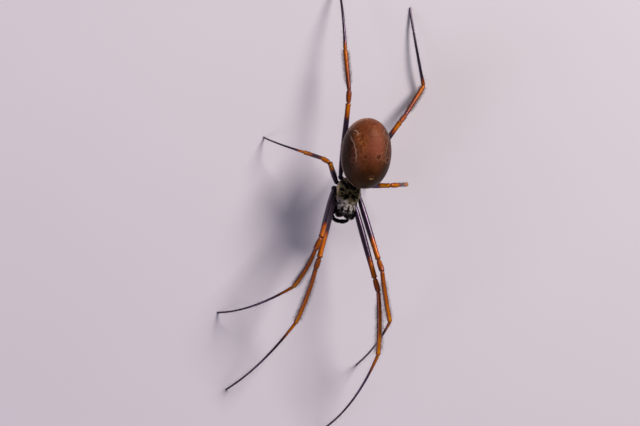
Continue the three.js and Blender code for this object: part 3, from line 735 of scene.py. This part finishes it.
# Each leg's hip beside the carapace, outward and rearward, then the heading and pitch of thigh, knee and
# shin in degrees, then the foot's heading, its bow sideways and its rise. Heading 0 is to the rear.
STANCES = {
    (1, "right"): ((3.1, -0.7), (-155.5, 36.5), (-172.5, -36), (-168, -29), (-141, 0.014, 0.1)),
    (1, "left"): ((2.3, -1.45), (167, 15), (167.5, 16), (176.5, -11.5), (-153.5, 0.028, 0.1)),
    (2, "right"): ((3.5, 1.6), (-152.5, 41), (-159, -15), (-160, -36.5), (-115.5, 0.035, 0.1)),
    (2, "left"): ((3.0, 0.9), (166, 18.5), (169.5, 34), (170.5, 1.5), (-165, 0.018, 0.03)),
    (3, "right"): ((3.2, 3.3), (-32, 44.5), (-55.5, -48), (-69.5, -56.5), (-68, 0.02, 0.1)),
    (3, "left"): ((3.2, 3.3), (87, 44), (88, -25), (92, -55.5), (-89.5, 0.02, 0.1)),
    (4, "right"): ((2.3, 4.7), (5.3, 0.6), (5, -8), (-3, -14), (0, 0, 0.08)),
    (4, "left"): ((2.3, 4.7), (38.5, -8.5), (50, -42), (39.5, -27), (-9.5, 0.02, 0.06)),
}
TOE_LEVEL = -0.05  # of the middle of a toe's end, below the floor's surface, where it is pressed flat


def heading(degrees, pitch):
    turn, lift = math.radians(degrees), math.radians(pitch)
    return np.array([math.sin(turn) * math.cos(lift), math.cos(turn) * math.cos(lift), math.sin(lift)])


def leg_joints(number, side):
    """The places of one leg's joints, from its root in the trunk to its toe, and of the foot's crest."""
    thigh, knee_length, shin_length, foot, _ = PAIRS[number]
    (outward, rearward), thigh_way, knee_way, shin_way, (foot_heading, bow, arch) = STANCES[number, side]
    sign = 1 if side == "left" else -1
    root = on_body((sign * 0.99, rearward * 0.72 + 0.25, -1.35))
    hip = on_body((sign * outward, rearward, HIP_LEVEL))
    knee = hip + thigh * heading(*thigh_way)
    shin = knee + knee_length * heading(*knee_way)
    ankle = shin + shin_length * heading(*shin_way)
    chord = foot * (1 - 2.7 * arch**2)
    drop = math.degrees(math.asin((ankle[2] - TOE_LEVEL) / chord))
    foot_way = heading(foot_heading, -drop)
    toe = ankle + chord * foot_way
    across = unit(np.cross(foot_way, [0, 0, 1.0]))
    over = np.cross(across, foot_way)
    crest = (ankle + toe) / 2 + 2 * arch * foot * over - 2 * bow * foot * across
    return root, hip, knee, shin, ankle, toe, crest


def distance_along(points):
    return np.concatenate([[0], np.cumsum(np.linalg.norm(np.diff(points, axis=0), axis=1))])


def evenly(points, step):
    """A line's points set at equal steps along it, and how far along each is."""
    lengths = distance_along(points)
    at = np.linspace(0, lengths[-1], max(2, int(round(lengths[-1] / step)) + 1))
    return np.stack([np.interp(at, lengths, points[:, n]) for n in range(3)], -1), at


def eased(points, reach, step):
    """The line with its corners rounded over that reach, its ends kept."""
    half = max(1, int(round(reach / step)))
    weights = np.hanning(2 * half + 3)[1:-1]
    weights /= weights.sum()
    ahead = points[0] + (points[0] - points[1]) * np.arange(half, 0, -1)[:, None]
    behind = points[-1] + (points[-1] - points[-2]) * np.arange(1, half + 1)[:, None]
    padded = np.concatenate([ahead, points, behind])
    return np.stack([np.convolve(padded[:, n], weights, "valid") for n in range(3)], -1)


STEP = 0.12  # between the rings of a leg
THIGH_RADII = [0.52, 0.72, 0.8, 0.82, 0.8, 0.75, 0.69, 0.69]
KNEE_RADII = [0.52, 0.66, 0.73, 0.76, 0.74, 0.62]
SHIN_RADII = [0.58, 0.6, 0.61, 0.61, 0.62, 0.62, 0.62, 0.6]
FOOT_RADII = [0.46, 0.36, 0.32, 0.3, 0.28, 0.26, 0.25, 0.26, 0.24]
LEG_SCALE = 0.97  # of all these radii, so that the skin stays inside the solids' box
HIND_FOOT_SCALE = 1.25  # the fourth pair's feet are stouter
TARSUS_SHARE = 0.7  # of the foot, where its last joint begins
SHIN_BOWS = {(2, "right"): 0.45, (1, "right"): 0.35, (1, "left"): 0.35, (2, "left"): -0.2}  # to its left
HINGES = {1: (0.34, 0.13), 2: (0.2, 0.03), 3: (0.26, 0.1), 4: (0.12, 0.05)}  # neck and lip, by station


def on_floor(rings):
    """Rings with what would be under the floor pressed flat on it."""
    rings[..., 2] = np.maximum(rings[..., 2], 0)
    return rings


def leg_shell(number, side):
    """Rings of the leg from thigh to toe, and for each ring its station: 0 at the hip, 1 at the knee,
    2 at the shin's start, 3 at the ankle, 4 at the last joint and 5 at the toe."""
    _, hip, knee, shin, ankle, toe, crest = leg_joints(number, side)
    shin_crest = (shin + ankle) / 2 + 2 * SHIN_BOWS.get((number, side), 0) * np.array([0.95, -0.3, 0])
    thigh_line, knee_line = np.array([hip, knee]), np.array([knee, shin])
    shin_line, foot_line = arched(shin, shin_crest, ankle, 100), arched(ankle, crest, toe, 200)
    lines, stations = [], []
    for n, part in enumerate((thigh_line, knee_line, shin_line, foot_line)):
        line, at = evenly(part, STEP)
        share = at / at[-1]
        if n == 3:
            share = np.interp(share, [0, TARSUS_SHARE, 1], [0, 1, 2])
        new = min(n, 1)  # a part's first ring is the last one of the part before
        lines.append(line[new:])
        stations.append(n + share[new:])
    line, station = eased(np.concatenate(lines), 0.66, STEP), np.concatenate(stations)
    foot_radii = spaced(np.interp(station, [3, 4, 5], [0, TARSUS_SHARE, 1]), FOOT_RADII)
    radii = np.select(
        [station <= 1, station <= 2, station <= 3],
        [spaced(station, THIGH_RADII), spaced(station - 1, KNEE_RADII), spaced(station - 2, SHIN_RADII)],
        foot_radii * (HIND_FOOT_SCALE if number == 4 else 1),
    ) * PAIRS[number][4] * LEG_SCALE
    distance = distance_along(line)
    joint_mark = np.zeros_like(radii)
    for joint, (neck, lip) in HINGES.items():
        past = distance - np.interp(joint, station, distance)
        radii *= 1 - neck * bump(past - 0.1, 0.17) + lip * bump(past + 0.32, 0.2)
        joint_mark = np.maximum(joint_mark, bump(past - 0.02, 0.14))
        joint_mark = np.maximum(joint_mark, 0.6 * bump(past + 0.52, 0.06) * (joint != 4))
    for fold in (0.35, 0.75):  # ring folds where the thigh leaves its ball
        radii *= 1 - 0.12 * bump(distance - fold, 0.1) + 0.06 * bump(distance - fold - 0.2, 0.1)
    line, rounded = rounded_ends(line, radii)
    extra = (len(rounded) - len(radii)) // 2
    rings = on_floor(limb_rings(line, rounded, 28))
    return rings, np.pad(station, extra, mode="edge"), np.pad(joint_mark, extra)


# Where each leg turns from black to amber along its thigh, and how amber that comes to be
AMBER_FROM = {
    (1, "right"): 0.56, (1, "left"): 0.7, (2, "right"): 0.7, (2, "left"): 0.62,
    (3, "right"): 0.62, (3, "left"): 0.62, (4, "right"): 0.76, (4, "left"): 0.76,
}
CLEAR_AMBER = {1: 0.8, 2: 0.8, 3: 1.0, 4: 0.86}
# How amber each pair is past its knee, at stations along it
FRONT_AMBER = [
    (1.05, 0.58), (1.5, 0.68), (1.9, 0.55), (2.05, 0.62), (2.5, 0.7), (2.8, 0.84), (2.95, 0.92),
    (3.03, 0.8), (3.12, 0.72), (3.22, 0.42), (3.32, 0.06), (5, 0.04),
]
PAST_KNEE = {
    1: FRONT_AMBER,
    2: FRONT_AMBER,
    3: [
        (1.03, 0.7), (1.5, 0.88), (1.95, 0.8), (2.1, 0.25), (2.4, 0.15), (2.55, 0.7), (2.9, 0.95),
        (3.03, 0.9), (3.14, 0.7), (3.22, 0.05), (5, 0.04),
    ],
    4: [
        (1.05, 0.55), (1.5, 0.58), (1.95, 0.42), (2.1, 0.4), (2.35, 0.5), (2.9, 0.8), (3.03, 0.75),
        (3.1, 0.4), (3.2, 0.06), (5, 0.04),
    ],
}


def amber_share(number, side, station):
    """How amber the cuticle is at a station, from 0 for black to 1 for bright orange."""
    first, clear = AMBER_FROM[number, side], CLEAR_AMBER[number]
    thigh = [(0, 0), (0.04, 0.02), (0.12, 0.1), (first, 0.1), (first + 0.05, 0.4)]
    thigh += [(first + 0.12, clear - 0.1), (0.97, clear)]
    return np.interp(station, *zip(*thigh, *PAST_KNEE[number]))


def claw_rings(number, side, spread):
    """One of the two curved claws at a toe."""
    *_, toe, crest = leg_joints(number, side)
    way = unit((toe - crest) * [1, 1, 0])
    aside = np.array([-way[1], way[0], 0]) * spread
    base = toe + np.array([0, 0, 0.2]) + aside * 0.4
    bend, tip = way * 0.32 + aside + [0, 0, 0.12], way * 0.42 + aside * 1.4 - [0, 0, 0.14]
    line, radii = rounded_ends(base + arched((0, 0, 0), bend, tip, 14), np.linspace(0.07, 0.02, 14))
    return on_floor(limb_rings(line, radii, 10))


def coxa_shell(number, side):
    """The leg's first two joints, a barrel and the ball that the thigh turns on, and how amber they are."""
    root, hip, *_ = leg_joints(number, side)
    thickness = PAIRS[number][4]
    forward = turned((0, -1.0, 0)) * (1.5 if number == 1 else 0.0)
    line, at = evenly(arched(root, (root + hip) / 2 + forward, hip, 60), 0.06)
    share = at / at[-1]
    inner = 0.7 * thickness / at[-1]
    past_rim = share - (1 - 0.95 * inner)
    barrel = np.interp(share, [0, 0.4, 1 - inner, 1], [0.6, 0.74, 0.72, 0.66]) * LEG_SCALE
    barrel *= thickness * (1.16 if number < 3 else 1.0)
    barrel *= 1 - 0.25 * bump(past_rim, 0.07)
    line, radii = rounded_ends(line, barrel)
    rings = limb_rings(line, radii, 28)
    rim = np.pad(0.4 * bump(past_rim, 0.04), (len(radii) - len(share)) // 2)
    return rings, np.repeat(rim[:, None], rings.shape[1], 1)


def leg_cuticle():
    """Thin tube cuticle, tanned black or clear amber where untanned; its gloss is painted violet and orange,
    its amber's sides painted darker as shade.
    The amber lets light in a little, so that it glows from within."""
    material, add = new_finish("leg_cuticle")
    where = add("TexCoord", give="Object")
    amber, painted_side_shade, joint = (
        add("Attribute", give="Fac", attribute_name=mark) for mark in ("amber", "painted_side_shade", "joint")
    )
    streaks, fine = (
        add("TexNoise", {"Vector": where, "Scale": 1 / (size * MM), "Detail": 3}) for size in (0.8, 0.12)
    )
    uneven, shaded, dullness, glow = (
        add("MapRange", {"Value": source, "From Min": low, "From Max": high, "To Min": first, "To Max": last})
        for source, low, high, first, last in (
            (streaks, 0.3, 0.7, -0.06, 0.08), (painted_side_shade, 0.3, 0.95, 1, 0.35), (streaks, 0, 1, 0.17, 0.33),
            (amber, 0.3, 0.9, 0, 0.2),
        )
    )
    uneven = add("Math", {0: amber, 1: uneven}, operation="ADD")
    tan = add("Math", {0: uneven, 1: shaded}, operation="MULTIPLY")
    colour = "#0b0608"
    # The depth of the tan, from black through red-brown to clear amber, lowered along the amber's sides as
    # painted shade
    for start, end, tint in (
        (0.0, 0.1, "#1e1624"), (0.12, 0.2, "#2c1512"), (0.2, 0.4, "#702a07"),
        (0.4, 0.6, "#964a00"), (0.6, 0.8, "#b06000"), (0.8, 1.0, "#d28a0c"),
    ):
        share = add("MapRange", {"Value": tan, "From Min": start, "From Max": end})
        colour = add("Mix", {SHARE: share, ONE: colour, OTHER: tint}, MIXED, data_type="RGBA")
    hinge = add("Math", {0: joint, 1: 0.9}, operation="MULTIPLY")
    # Painted reflections: the gloss is tinted violet on black cuticle and orange on amber
    painted_reflection_tint = add("Mix", {SHARE: amber, ONE: "#d6c2f2", OTHER: "#ff9430"}, MIXED, data_type="RGBA")
    surface = add("BsdfPrincipled", {
        "Specular Tint": painted_reflection_tint,
        "Base Color": add("Mix", {SHARE: hinge, ONE: colour, OTHER: "#2c0c06"}, MIXED, data_type="RGBA"),
        "Roughness": dullness,
        "Normal": add("Bump", {"Height": fine, "Distance": 0.02 * MM, "Strength": 0.3}),
        "Specular IOR Level": 0.85,
        "Subsurface Weight": glow,
        "Subsurface Radius": (0.6, 0.25, 0.08),
        "Subsurface Scale": 0.5 * MM,
    })
    add("OutputMaterial", {"Surface": surface})
    return material


CLAW_SPREADS = (-0.12, 0.12)  # of the two claws, beside the toe
leg_finish = leg_cuticle()
leg_shells = {}
for number, side in STANCES:
    rings, station, joint_mark = leg_shell(number, side)
    sides = rings.shape[1]
    amber = np.repeat(amber_share(number, side, station)[:, None], sides, 1)
    # Painted shade: the amber is darkened towards both sides of each leg's tube
    painted_side_shade = np.abs(np.cos(turns(sides))) * (amber > 0.15)
    marks = {"amber": amber, "joint": np.repeat(joint_mark[:, None], sides, 1), "painted_side_shade": painted_side_shade}
    coxa, coxa_amber = coxa_shell(number, side)
    claws = [claw_rings(number, side, spread) for spread in CLAW_SPREADS]
    coxa_part, *claw_parts = (
        (shell, {mark: np.zeros(shell.shape[:2]) for mark in marks}) for shell in (coxa, *claws)
    )
    coxa_part[1]["amber"] = coxa_amber
    leg = closed_skin(f"leg_{number}_{side}", [coxa_part, (rings, marks), *claw_parts])
    solids = [f"leg_{number}_{side}_{part}" for part in ("coxa", "femur", "tibia", "foot")]
    fitted(leg, leg_finish, "amber_cuticle", *solids)
    leg_shells[number, side] = (rings, station, amber)


# Palps
# The two palps are short feelers like small legs beside the jaws, black, hairy, and ending in one claw.
# Each grows from a jaw plate that lies beside the lip.

PALP_JOINTS = {
    "right": [
        (-1.6, -3.0, -1.9), (-3.1, -4.95, -1.6), (-2.0, -6.05, -1.6), (0.2, -6.25, -1.7), (1.45, -5.7, -1.9),
        (1.05, -5.2, -2.2),
    ],
    "left": [(1.6, -3.0, -1.9), (2.5, -4.2, -1.5), (2.45, -4.9, -1.7), (2.35, -5.0, -3.0), (2.1, -4.9, -4.2)],
}
PALP_STEP = 0.06  # between the rings of a palp


def curve_through(points, count):
    """An even curve through points, each stretch taken at the pace that its own length sets."""
    points = np.asarray(points, float)
    padded = np.concatenate([[2 * points[0] - points[1]], points, [2 * points[-1] - points[-2]]])
    pieces = []
    for p0, p1, p2, p3 in zip(padded, padded[1:], padded[2:], padded[3:]):
        t1, t2, t3 = np.cumsum([math.sqrt(np.linalg.norm(step)) for step in (p1 - p0, p2 - p1, p3 - p2)])
        t = np.linspace(t1, t2, count)[:, None]

        def mixed(a, b, start, end):
            return (end - t) / (end - start) * a + (t - start) / (end - start) * b

        a1, a2, a3 = mixed(p0, p1, 0, t1), mixed(p1, p2, t1, t2), mixed(p2, p3, t2, t3)
        curve = mixed(mixed(a1, a2, 0, t2), mixed(a2, a3, t1, t3), t1, t2)
        pieces.append(curve if not pieces else curve[1:])
    return np.concatenate(pieces)


palp_shells = []
for side, joints in PALP_JOINTS.items():
    sign = 1 if side == "left" else -1
    upper = arched(joints[0], (joints[1][0] * 0.9, joints[0][1] - 0.6, joints[0][2]), joints[1], 20)
    line, at = evenly(np.concatenate([upper, curve_through(joints[1:], 24)[1:]]), PALP_STEP)
    elbow = np.linalg.norm(np.array(joints[1]) - joints[0])
    share = np.where(at < elbow, at / elbow, 1 + (at - elbow) / (at[-1] - elbow))
    tip_radii = spaced(share - 1, [0.48, 0.5, 0.46, 0.5, 0.5, 0.36, 0.16])
    radii = np.where(share < 1, spaced(share, [0.6, 0.78, 0.56]), tip_radii)
    for joint in (1.0, 1.22, 1.5):
        radii = radii * (1 - 0.16 * bump((share - joint) * 6, 0.16))
    line, radii = rounded_ends(eased(line, 0.3, PALP_STEP), radii * 1.04)
    palp = limb_rings(on_body(line), radii, 24)
    jaw_plate = plate_rings(0.6, 0.93, 0.9, 0, (sign * 1.35, -2.9, -2.17), 2)
    ball = np.array([(sign * 2.35, -2.55, -1.85), (sign * 2.5, -2.7, -1.8)])  # the joint beside the mouth
    ball = limb_rings(*rounded_ends(ball, np.array([0.58, 0.58])))
    feeler = closed_skin(f"palp_{side}", [(shell, {}) for shell in (palp, on_body(jaw_plate), on_body(ball))])
    fitted(feeler, jaw_finish, "dark_cuticle", f"palp_{side}_femur", f"palp_{side}_tip")
    palp_shells.append(palp)


# Coats of hair
# Every hair is a stiff bristle of cuticle that stands in its own socket and tapers to a point.
# Each coat is one mesh of many small solid hairs, thickest in brushes along the shins.

def rooted(rings, density, count, draw, marks, cell=0, cells=1):
    """Random places on a shell, even over its area times a density, with the ways out and along there.
    The shell's unwrap is one cell of the coat's row of cells."""
    out, along = facing_out(rings)
    a, b = rings[:-1], np.roll(rings, -1, axis=1)[:-1]
    d, c = rings[1:], np.roll(rings, -1, axis=1)[1:]
    area = np.linalg.norm(np.cross(c - a, b - d), axis=-1) / 2
    weight = (area * (density[:-1] + density[1:]) / 2).ravel()
    face = draw.choice(weight.size, size=count, p=weight / weight.sum())
    k, i = np.divmod(face, rings.shape[1])
    u, v = draw.random(count), draw.random(count)
    after = (i + 1) % rings.shape[1]

    def spread(values):
        shape = (count,) + (1,) * (values.ndim - 2)
        uu, vv = u.reshape(shape), v.reshape(shape)
        near = values[k, i] * (1 - uu) + values[k, after] * uu
        far = values[k + 1, i] * (1 - uu) + values[k + 1, after] * uu
        return near * (1 - vv) + far * vv

    found = {"root": spread(rings), "out": unit(spread(out)), "along": unit(spread(along))}
    unwrap = np.stack([(i + u) / rings.shape[1], (k + v) / (rings.shape[0] - 1)], -1)
    found["unwrap"] = (unwrap + [cell, 0]) / [cells, 1]
    found.update({mark: spread(values) for mark, values in marks.items()})
    return found


CLEAR = 0.03  # no hair comes nearer to the floor than this
HAIR_SINK = 0.025  # how deep a hair's root sits in the skin


def combed(found, draw, length, radius, lift, curl, scatter, lie=None):
    """Hairs that leave the skin at a lift in degrees and lie along it."""
    count = len(found["root"])
    lie = found["along"] if lie is None else lie
    lie = unit(lie - found["out"] * (lie * found["out"]).sum(-1, keepdims=True))
    angle = np.radians(np.clip(draw.normal(lift, lift * 0.2, count), 3, 88))[:, None]
    way = unit(found["out"] * np.sin(angle) + lie * np.cos(angle) + draw.normal(0, scatter, (count, 3)))
    tuft = dict(found, way=way, bend=lie * curl - found["out"] * curl * 0.6)
    tuft["length"] = draw.uniform(*length, count)
    tuft["radius"] = draw.uniform(*radius, count)
    tuft["root"] = found["root"] - found["out"] * HAIR_SINK
    tuft["root"][:, 2] = np.maximum(tuft["root"][:, 2], CLEAR)
    way[:, 2] = np.maximum(way[:, 2], (CLEAR - tuft["root"][:, 2]) / tuft["length"] - tuft["bend"][:, 2])
    return tuft


def coat(name, tufts, finish, slot, marks=(), stages=(0, 0.5)):
    """One mesh of tapered three-sided hairs, with a ring at each stage of a hair's length."""
    root, way, bend, length, radius, unwrap = (
        np.concatenate([tuft[key] for tuft in tufts])
        for key in ("root", "way", "bend", "length", "radius", "unwrap")
    )
    across = unit(np.cross(way, bend + [1e-3, 2e-3, 3e-3]))
    over = np.cross(across, way)
    corner_places = []
    for stage in stages:
        middle = root + length[:, None] * (way * stage + bend * stage**2)
        thick = radius[:, None] * (1 - 0.75 * stage)
        for angle in turns(3):
            corner_places.append(middle + thick * (math.cos(angle) * across + 0.6 * math.sin(angle) * over))
    corner_places.append(root + length[:, None] * (way + bend))
    places = np.stack(corner_places, 1)
    per = places.shape[1]
    faces = [(0, 2, 1)]
    for base in range(0, per - 4, 3):
        for turn in range(3):
            here, after = base + turn, base + (turn + 1) % 3
            faces += [(here, after, after + 3), (here, after + 3, here + 3)]
    faces += [(per - 4 + turn, per - 4 + (turn + 1) % 3, per - 1) for turn in range(3)]
    faces = np.array(faces)
    corners = (faces[None] + per * np.arange(len(root))[:, None, None]).ravel()
    kept = {mark: np.repeat(np.concatenate([tuft[mark] for tuft in tufts]), per) for mark in marks}
    hairs = mesh_of(name, places.reshape(-1, 3), corners, np.full(len(root) * len(faces), 3), kept)
    spots = np.array([(0.001 * (n % 3), 0.001 * (n // 3)) for n in range(per)])
    patches = unwrap[:, None] + spots[None]
    layer = hairs.data.uv_layers.new(name="OFBake")
    layer.data.foreach_set("uv", patches.reshape(-1, 2)[corners].astype(np.float32).ravel())
    fitted(hairs, finish, slot)


def silver_hair():
    """Flat pale hairs, silver on the head and straw-coloured behind it, that catch the light."""
    material, add = new_finish("silver_hair")
    where = add("TexCoord", give="Object")
    tone = add("TexNoise", {"Vector": where, "Scale": 1 / (0.25 * MM)})
    surface = add("BsdfPrincipled", {
        "Base Color": hair_colour(add, tone, ("#d0c6c0", "#fffaf6"), ("#4e4524", "#a89d6e"), "#f0dab0"),
        "Roughness": 0.42,
        "Sheen Weight": 0.3,
    })
    add("OutputMaterial", {"Surface": surface})
    return material


def tinted_hair(name, mark, plain, tinted, gloss):
    """Hair of one colour that turns to another by a mark on the skin under it."""
    material, add = new_finish(name)
    share = add("Attribute", give="Fac", attribute_name=mark)
    colour = add("Mix", {SHARE: share, ONE: plain, OTHER: tinted}, MIXED, data_type="RGBA")
    add("OutputMaterial", {"Surface": add("BsdfPrincipled", {"Base Color": colour, **gloss})})
    return material


# Very short soft hairs, brown on the back; low along the abdomen's sides they are paler, longer and denser,
# most on the right, to paint a rim of backlight
soft_down = tinted_hair("abdomen_down", "painted_rim_light", "#5e3520", "#e8c8b8", {"Roughness": 0.5, "IOR": 1.25})
# Short bristles over the legs: black on black cuticle, brown over the amber
leg_down = tinted_hair("leg_down", "amber", "#151015", "#7a430c", {"Roughness": 0.4})
# The long soft bristles of the shin brushes, smoky grey-brown
brush_bristle = mottled("brush_bristle", 0.5, "#6a5e62", "#a4969a", {"Roughness": 0.5})
# Black-brown bristles, slightly glossy
dark_bristle = mottled("dark_bristle", 0.3, "#060404", "#1c1413", {"Roughness": 0.4, "IOR": 1.25})

draw = np.random.default_rng(20)
marks = carapace_marks(carapace_local)
# The hair follows the silver mark, so it is thin where the abdomen's shadow is painted on the rear
density = np.where(carapace_local[..., 2] > -0.05, marks["silver"] ** 1.5 + marks["ridge"], 0)
found = rooted(on_body(carapace_local), density, 8000, draw, marks)
from_pit = found["root"] - on_body((0, PIT_PLACE, 1.9))
forward = np.broadcast_to(turned((0, -1.0, 0)), from_pit.shape)
lie = np.where((found["olive"] > 0.5)[:, None], from_pit, forward * 2 + from_pit * 0.25)
silver_tufts = [combed(found, draw, (0.16, 0.3), (0.014, 0.022), 20, 0.12, 0.14, lie)]
coat("carapace_coat", silver_tufts, silver_hair(), "carapace", ("olive", "ridge"))

x, y, z = np.moveaxis(abdomen_local, -1, 0)
# A band low along the sides whose pale hairs paint the bright rim of backlight
painted_rim_light = rise(z, -3.4, -1.0) * (1 - rise(z, 0.0, 2.4))
crowded = 1 + painted_rim_light * np.where(x < 0, 9, 2)
found = rooted(in_pose(abdomen_local), crowded, 19000, draw, {"painted_rim_light": painted_rim_light})
down = combed(found, draw, (0.12, 0.2), (0.005, 0.007), 20, 0.05, 0.08)
down["length"] = down["length"] * (1 + 0.8 * down["painted_rim_light"])
down["radius"] = down["radius"] * (1 + 0.4 * down["painted_rim_light"])
coat("abdomen_down", [down], soft_down, "abdomen_skin", ("painted_rim_light",))

COMB_SPACING = 0.42  # between a brush's clumps; real bristles are some 0.1 apart, too fine to show
BRUSHES = {  # bristles, and their lengths
    1: (1300, (0.9, 1.4)),
    2: (1050, (0.75, 1.2)),
    4: (1300, (0.75, 1.2)),
}
down_tufts, brush_tufts, spine_tufts = [], [], []
for cell, ((number, side), (rings, station, amber)) in enumerate(leg_shells.items()):
    angle = turns(rings.shape[1])
    stations = np.repeat(station[:, None], rings.shape[1], 1)
    shared = (draw, {"amber": amber}, cell, len(leg_shells))
    found = rooted(rings, np.ones_like(amber), 1500, *shared)
    down_tufts.append(combed(found, draw, (0.2, 0.38), (0.009, 0.013), 28, 0.08, 0.1))

    spiny = ((stations > 0.12) & (stations < 4.0)) * (np.sin(angle) > -0.3).astype(float)
    found = rooted(rings, spiny, 22, *shared)
    spine_tufts.append(combed(found, draw, (0.55, 0.95), (0.026, 0.034), 34, 0.15, 0.05))

    if number in BRUSHES:
        bristles, length = BRUSHES[number]
        flanks = np.abs(np.cos(angle)) ** 6
        bristly = rise(station, 2.06, 2.3) * (1 - 0.9 * rise(station, 2.86, 2.97))
        comb = (np.cos(2 * np.pi * np.arange(len(station)) * STEP / COMB_SPACING) > 0.2) + 0.15
        found = rooted(rings, (bristly * comb)[:, None] * flanks[None], bristles, *shared)
        brush_tufts.append(combed(found, draw, length, (0.013, 0.019), 52, 0.1, 0.05))
coat("leg_down", down_tufts, leg_down, "dark_cuticle", ("amber",))
coat("shin_brushes", brush_tufts, brush_bristle, "dark_cuticle", (), (0, 0.45, 0.8))
coat("leg_spines", spine_tufts, dark_bristle, "dark_cuticle", (), (0, 0.3, 0.6, 0.85))

feelers = [(rings, 1100, (0.012, 0.018), 38) for rings in palp_shells]
feelers += [(rings, 450, (0.009, 0.013), 35) for rings in jaw_shells]
feeler_tufts = []
for cell, (rings, count, radius, lift) in enumerate(feelers):
    found = rooted(rings, np.ones(rings.shape[:2]), count, draw, {}, cell, len(feelers))
    feeler_tufts.append(combed(found, draw, (0.25, 0.5), radius, lift, 0.1, 0.12))
coat("palp_and_jaw_hair", feeler_tufts, dark_bristle, "dark_cuticle")


# Floor
# The spider stands on a plain pale floor that reaches past every edge of the picture.
# It is painted board, matt and a little cool, as a museum's white case is.

REACH = 3.0  # metres from the middle of the floor to its edges
floor_mesh = bpy.data.meshes.new("floor")
floor_corners = [(-REACH, -REACH, 0), (REACH, -REACH, 0), (REACH, REACH, 0), (-REACH, REACH, 0)]
floor_mesh.from_pydata(floor_corners, [], [(0, 1, 2, 3)])
floor = bpy.data.objects.new("floor", floor_mesh)
bpy.context.scene.collection.objects.link(floor)
# Matt pale paint, a little uneven over some 90 mm, so that the floor isn't quite flat in tone
floor_mesh.materials.append(mottled("floor_paint", 90, "#cfcbd6", "#d5d1dc", {"Roughness": 0.85}))


# Camera
# A long lens looks down on the spider from a little to its right, from well over a metre away,
# so that it is seen nearly without perspective.

BACK = np.array([-0.2425, 0.0564, 0.9685])  # from the spider to the camera
RIGHT = np.array([0.9701, 0.0141, 0.2421])
UP = np.array([0.0, 0.9983, -0.0581])
LENS, SENSOR, VIEW_WIDTH = 300.0, 36.0, 160.0  # millimetres; the view's width is where the spider is

look_at = CARAPACE_MIDDLE + np.array([0.75, 1.7, -0.6]) - 7.5 * RIGHT - 5.75 * UP
camera_data = bpy.data.cameras.new("camera")
camera_data.lens = LENS
camera_data.sensor_width = SENSOR
camera_data.clip_start, camera_data.clip_end = 0.05, 20
camera = bpy.data.objects.new("camera", camera_data)
camera.location = Vector((look_at + BACK * VIEW_WIDTH * LENS / SENSOR) * MM)
camera.rotation_mode = "QUATERNION"
camera.rotation_quaternion = Matrix(np.stack([RIGHT, UP, BACK], 1).tolist()).to_quaternion()
bpy.context.scene.collection.objects.link(camera)
bpy.context.scene.camera = camera


# Light
# Soft daylight: a bright panel high behind the spider's left, a fainter and cooler one before its right,
# and an even pale sky all round.

def panel(name, direction, size, power, colour):
    """A soft light a metre away that faces the spider from that direction."""
    data = bpy.data.lights.new(name, "AREA")
    data.size = size
    data.energy = power
    data.color = linear(colour)[:3]
    lamp = bpy.data.objects.new(name, data)
    lamp.location = Vector(direction).normalized()
    lamp.rotation_mode = "QUATERNION"
    lamp.rotation_quaternion = lamp.location.to_track_quat("Z", "Y")
    bpy.context.scene.collection.objects.link(lamp)


panel("daylight", (0.48, 0.6, 0.66), 0.35, 11.5, "#fff5ec")
panel("side_light", (-1.0, -0.6, 0.6), 0.4, 3.2, "#e6dcfa")
sky = bpy.data.worlds.new("sky")
sky.use_nodes = True
sky.node_tree.nodes["Background"].inputs["Color"].default_value = linear("#ebe6ec")
sky.node_tree.nodes["Background"].inputs["Strength"].default_value = 0.17
bpy.context.scene.world = sky
bpy.context.scene.view_settings.view_transform = "Standard"

bpy.context.view_layer.update()
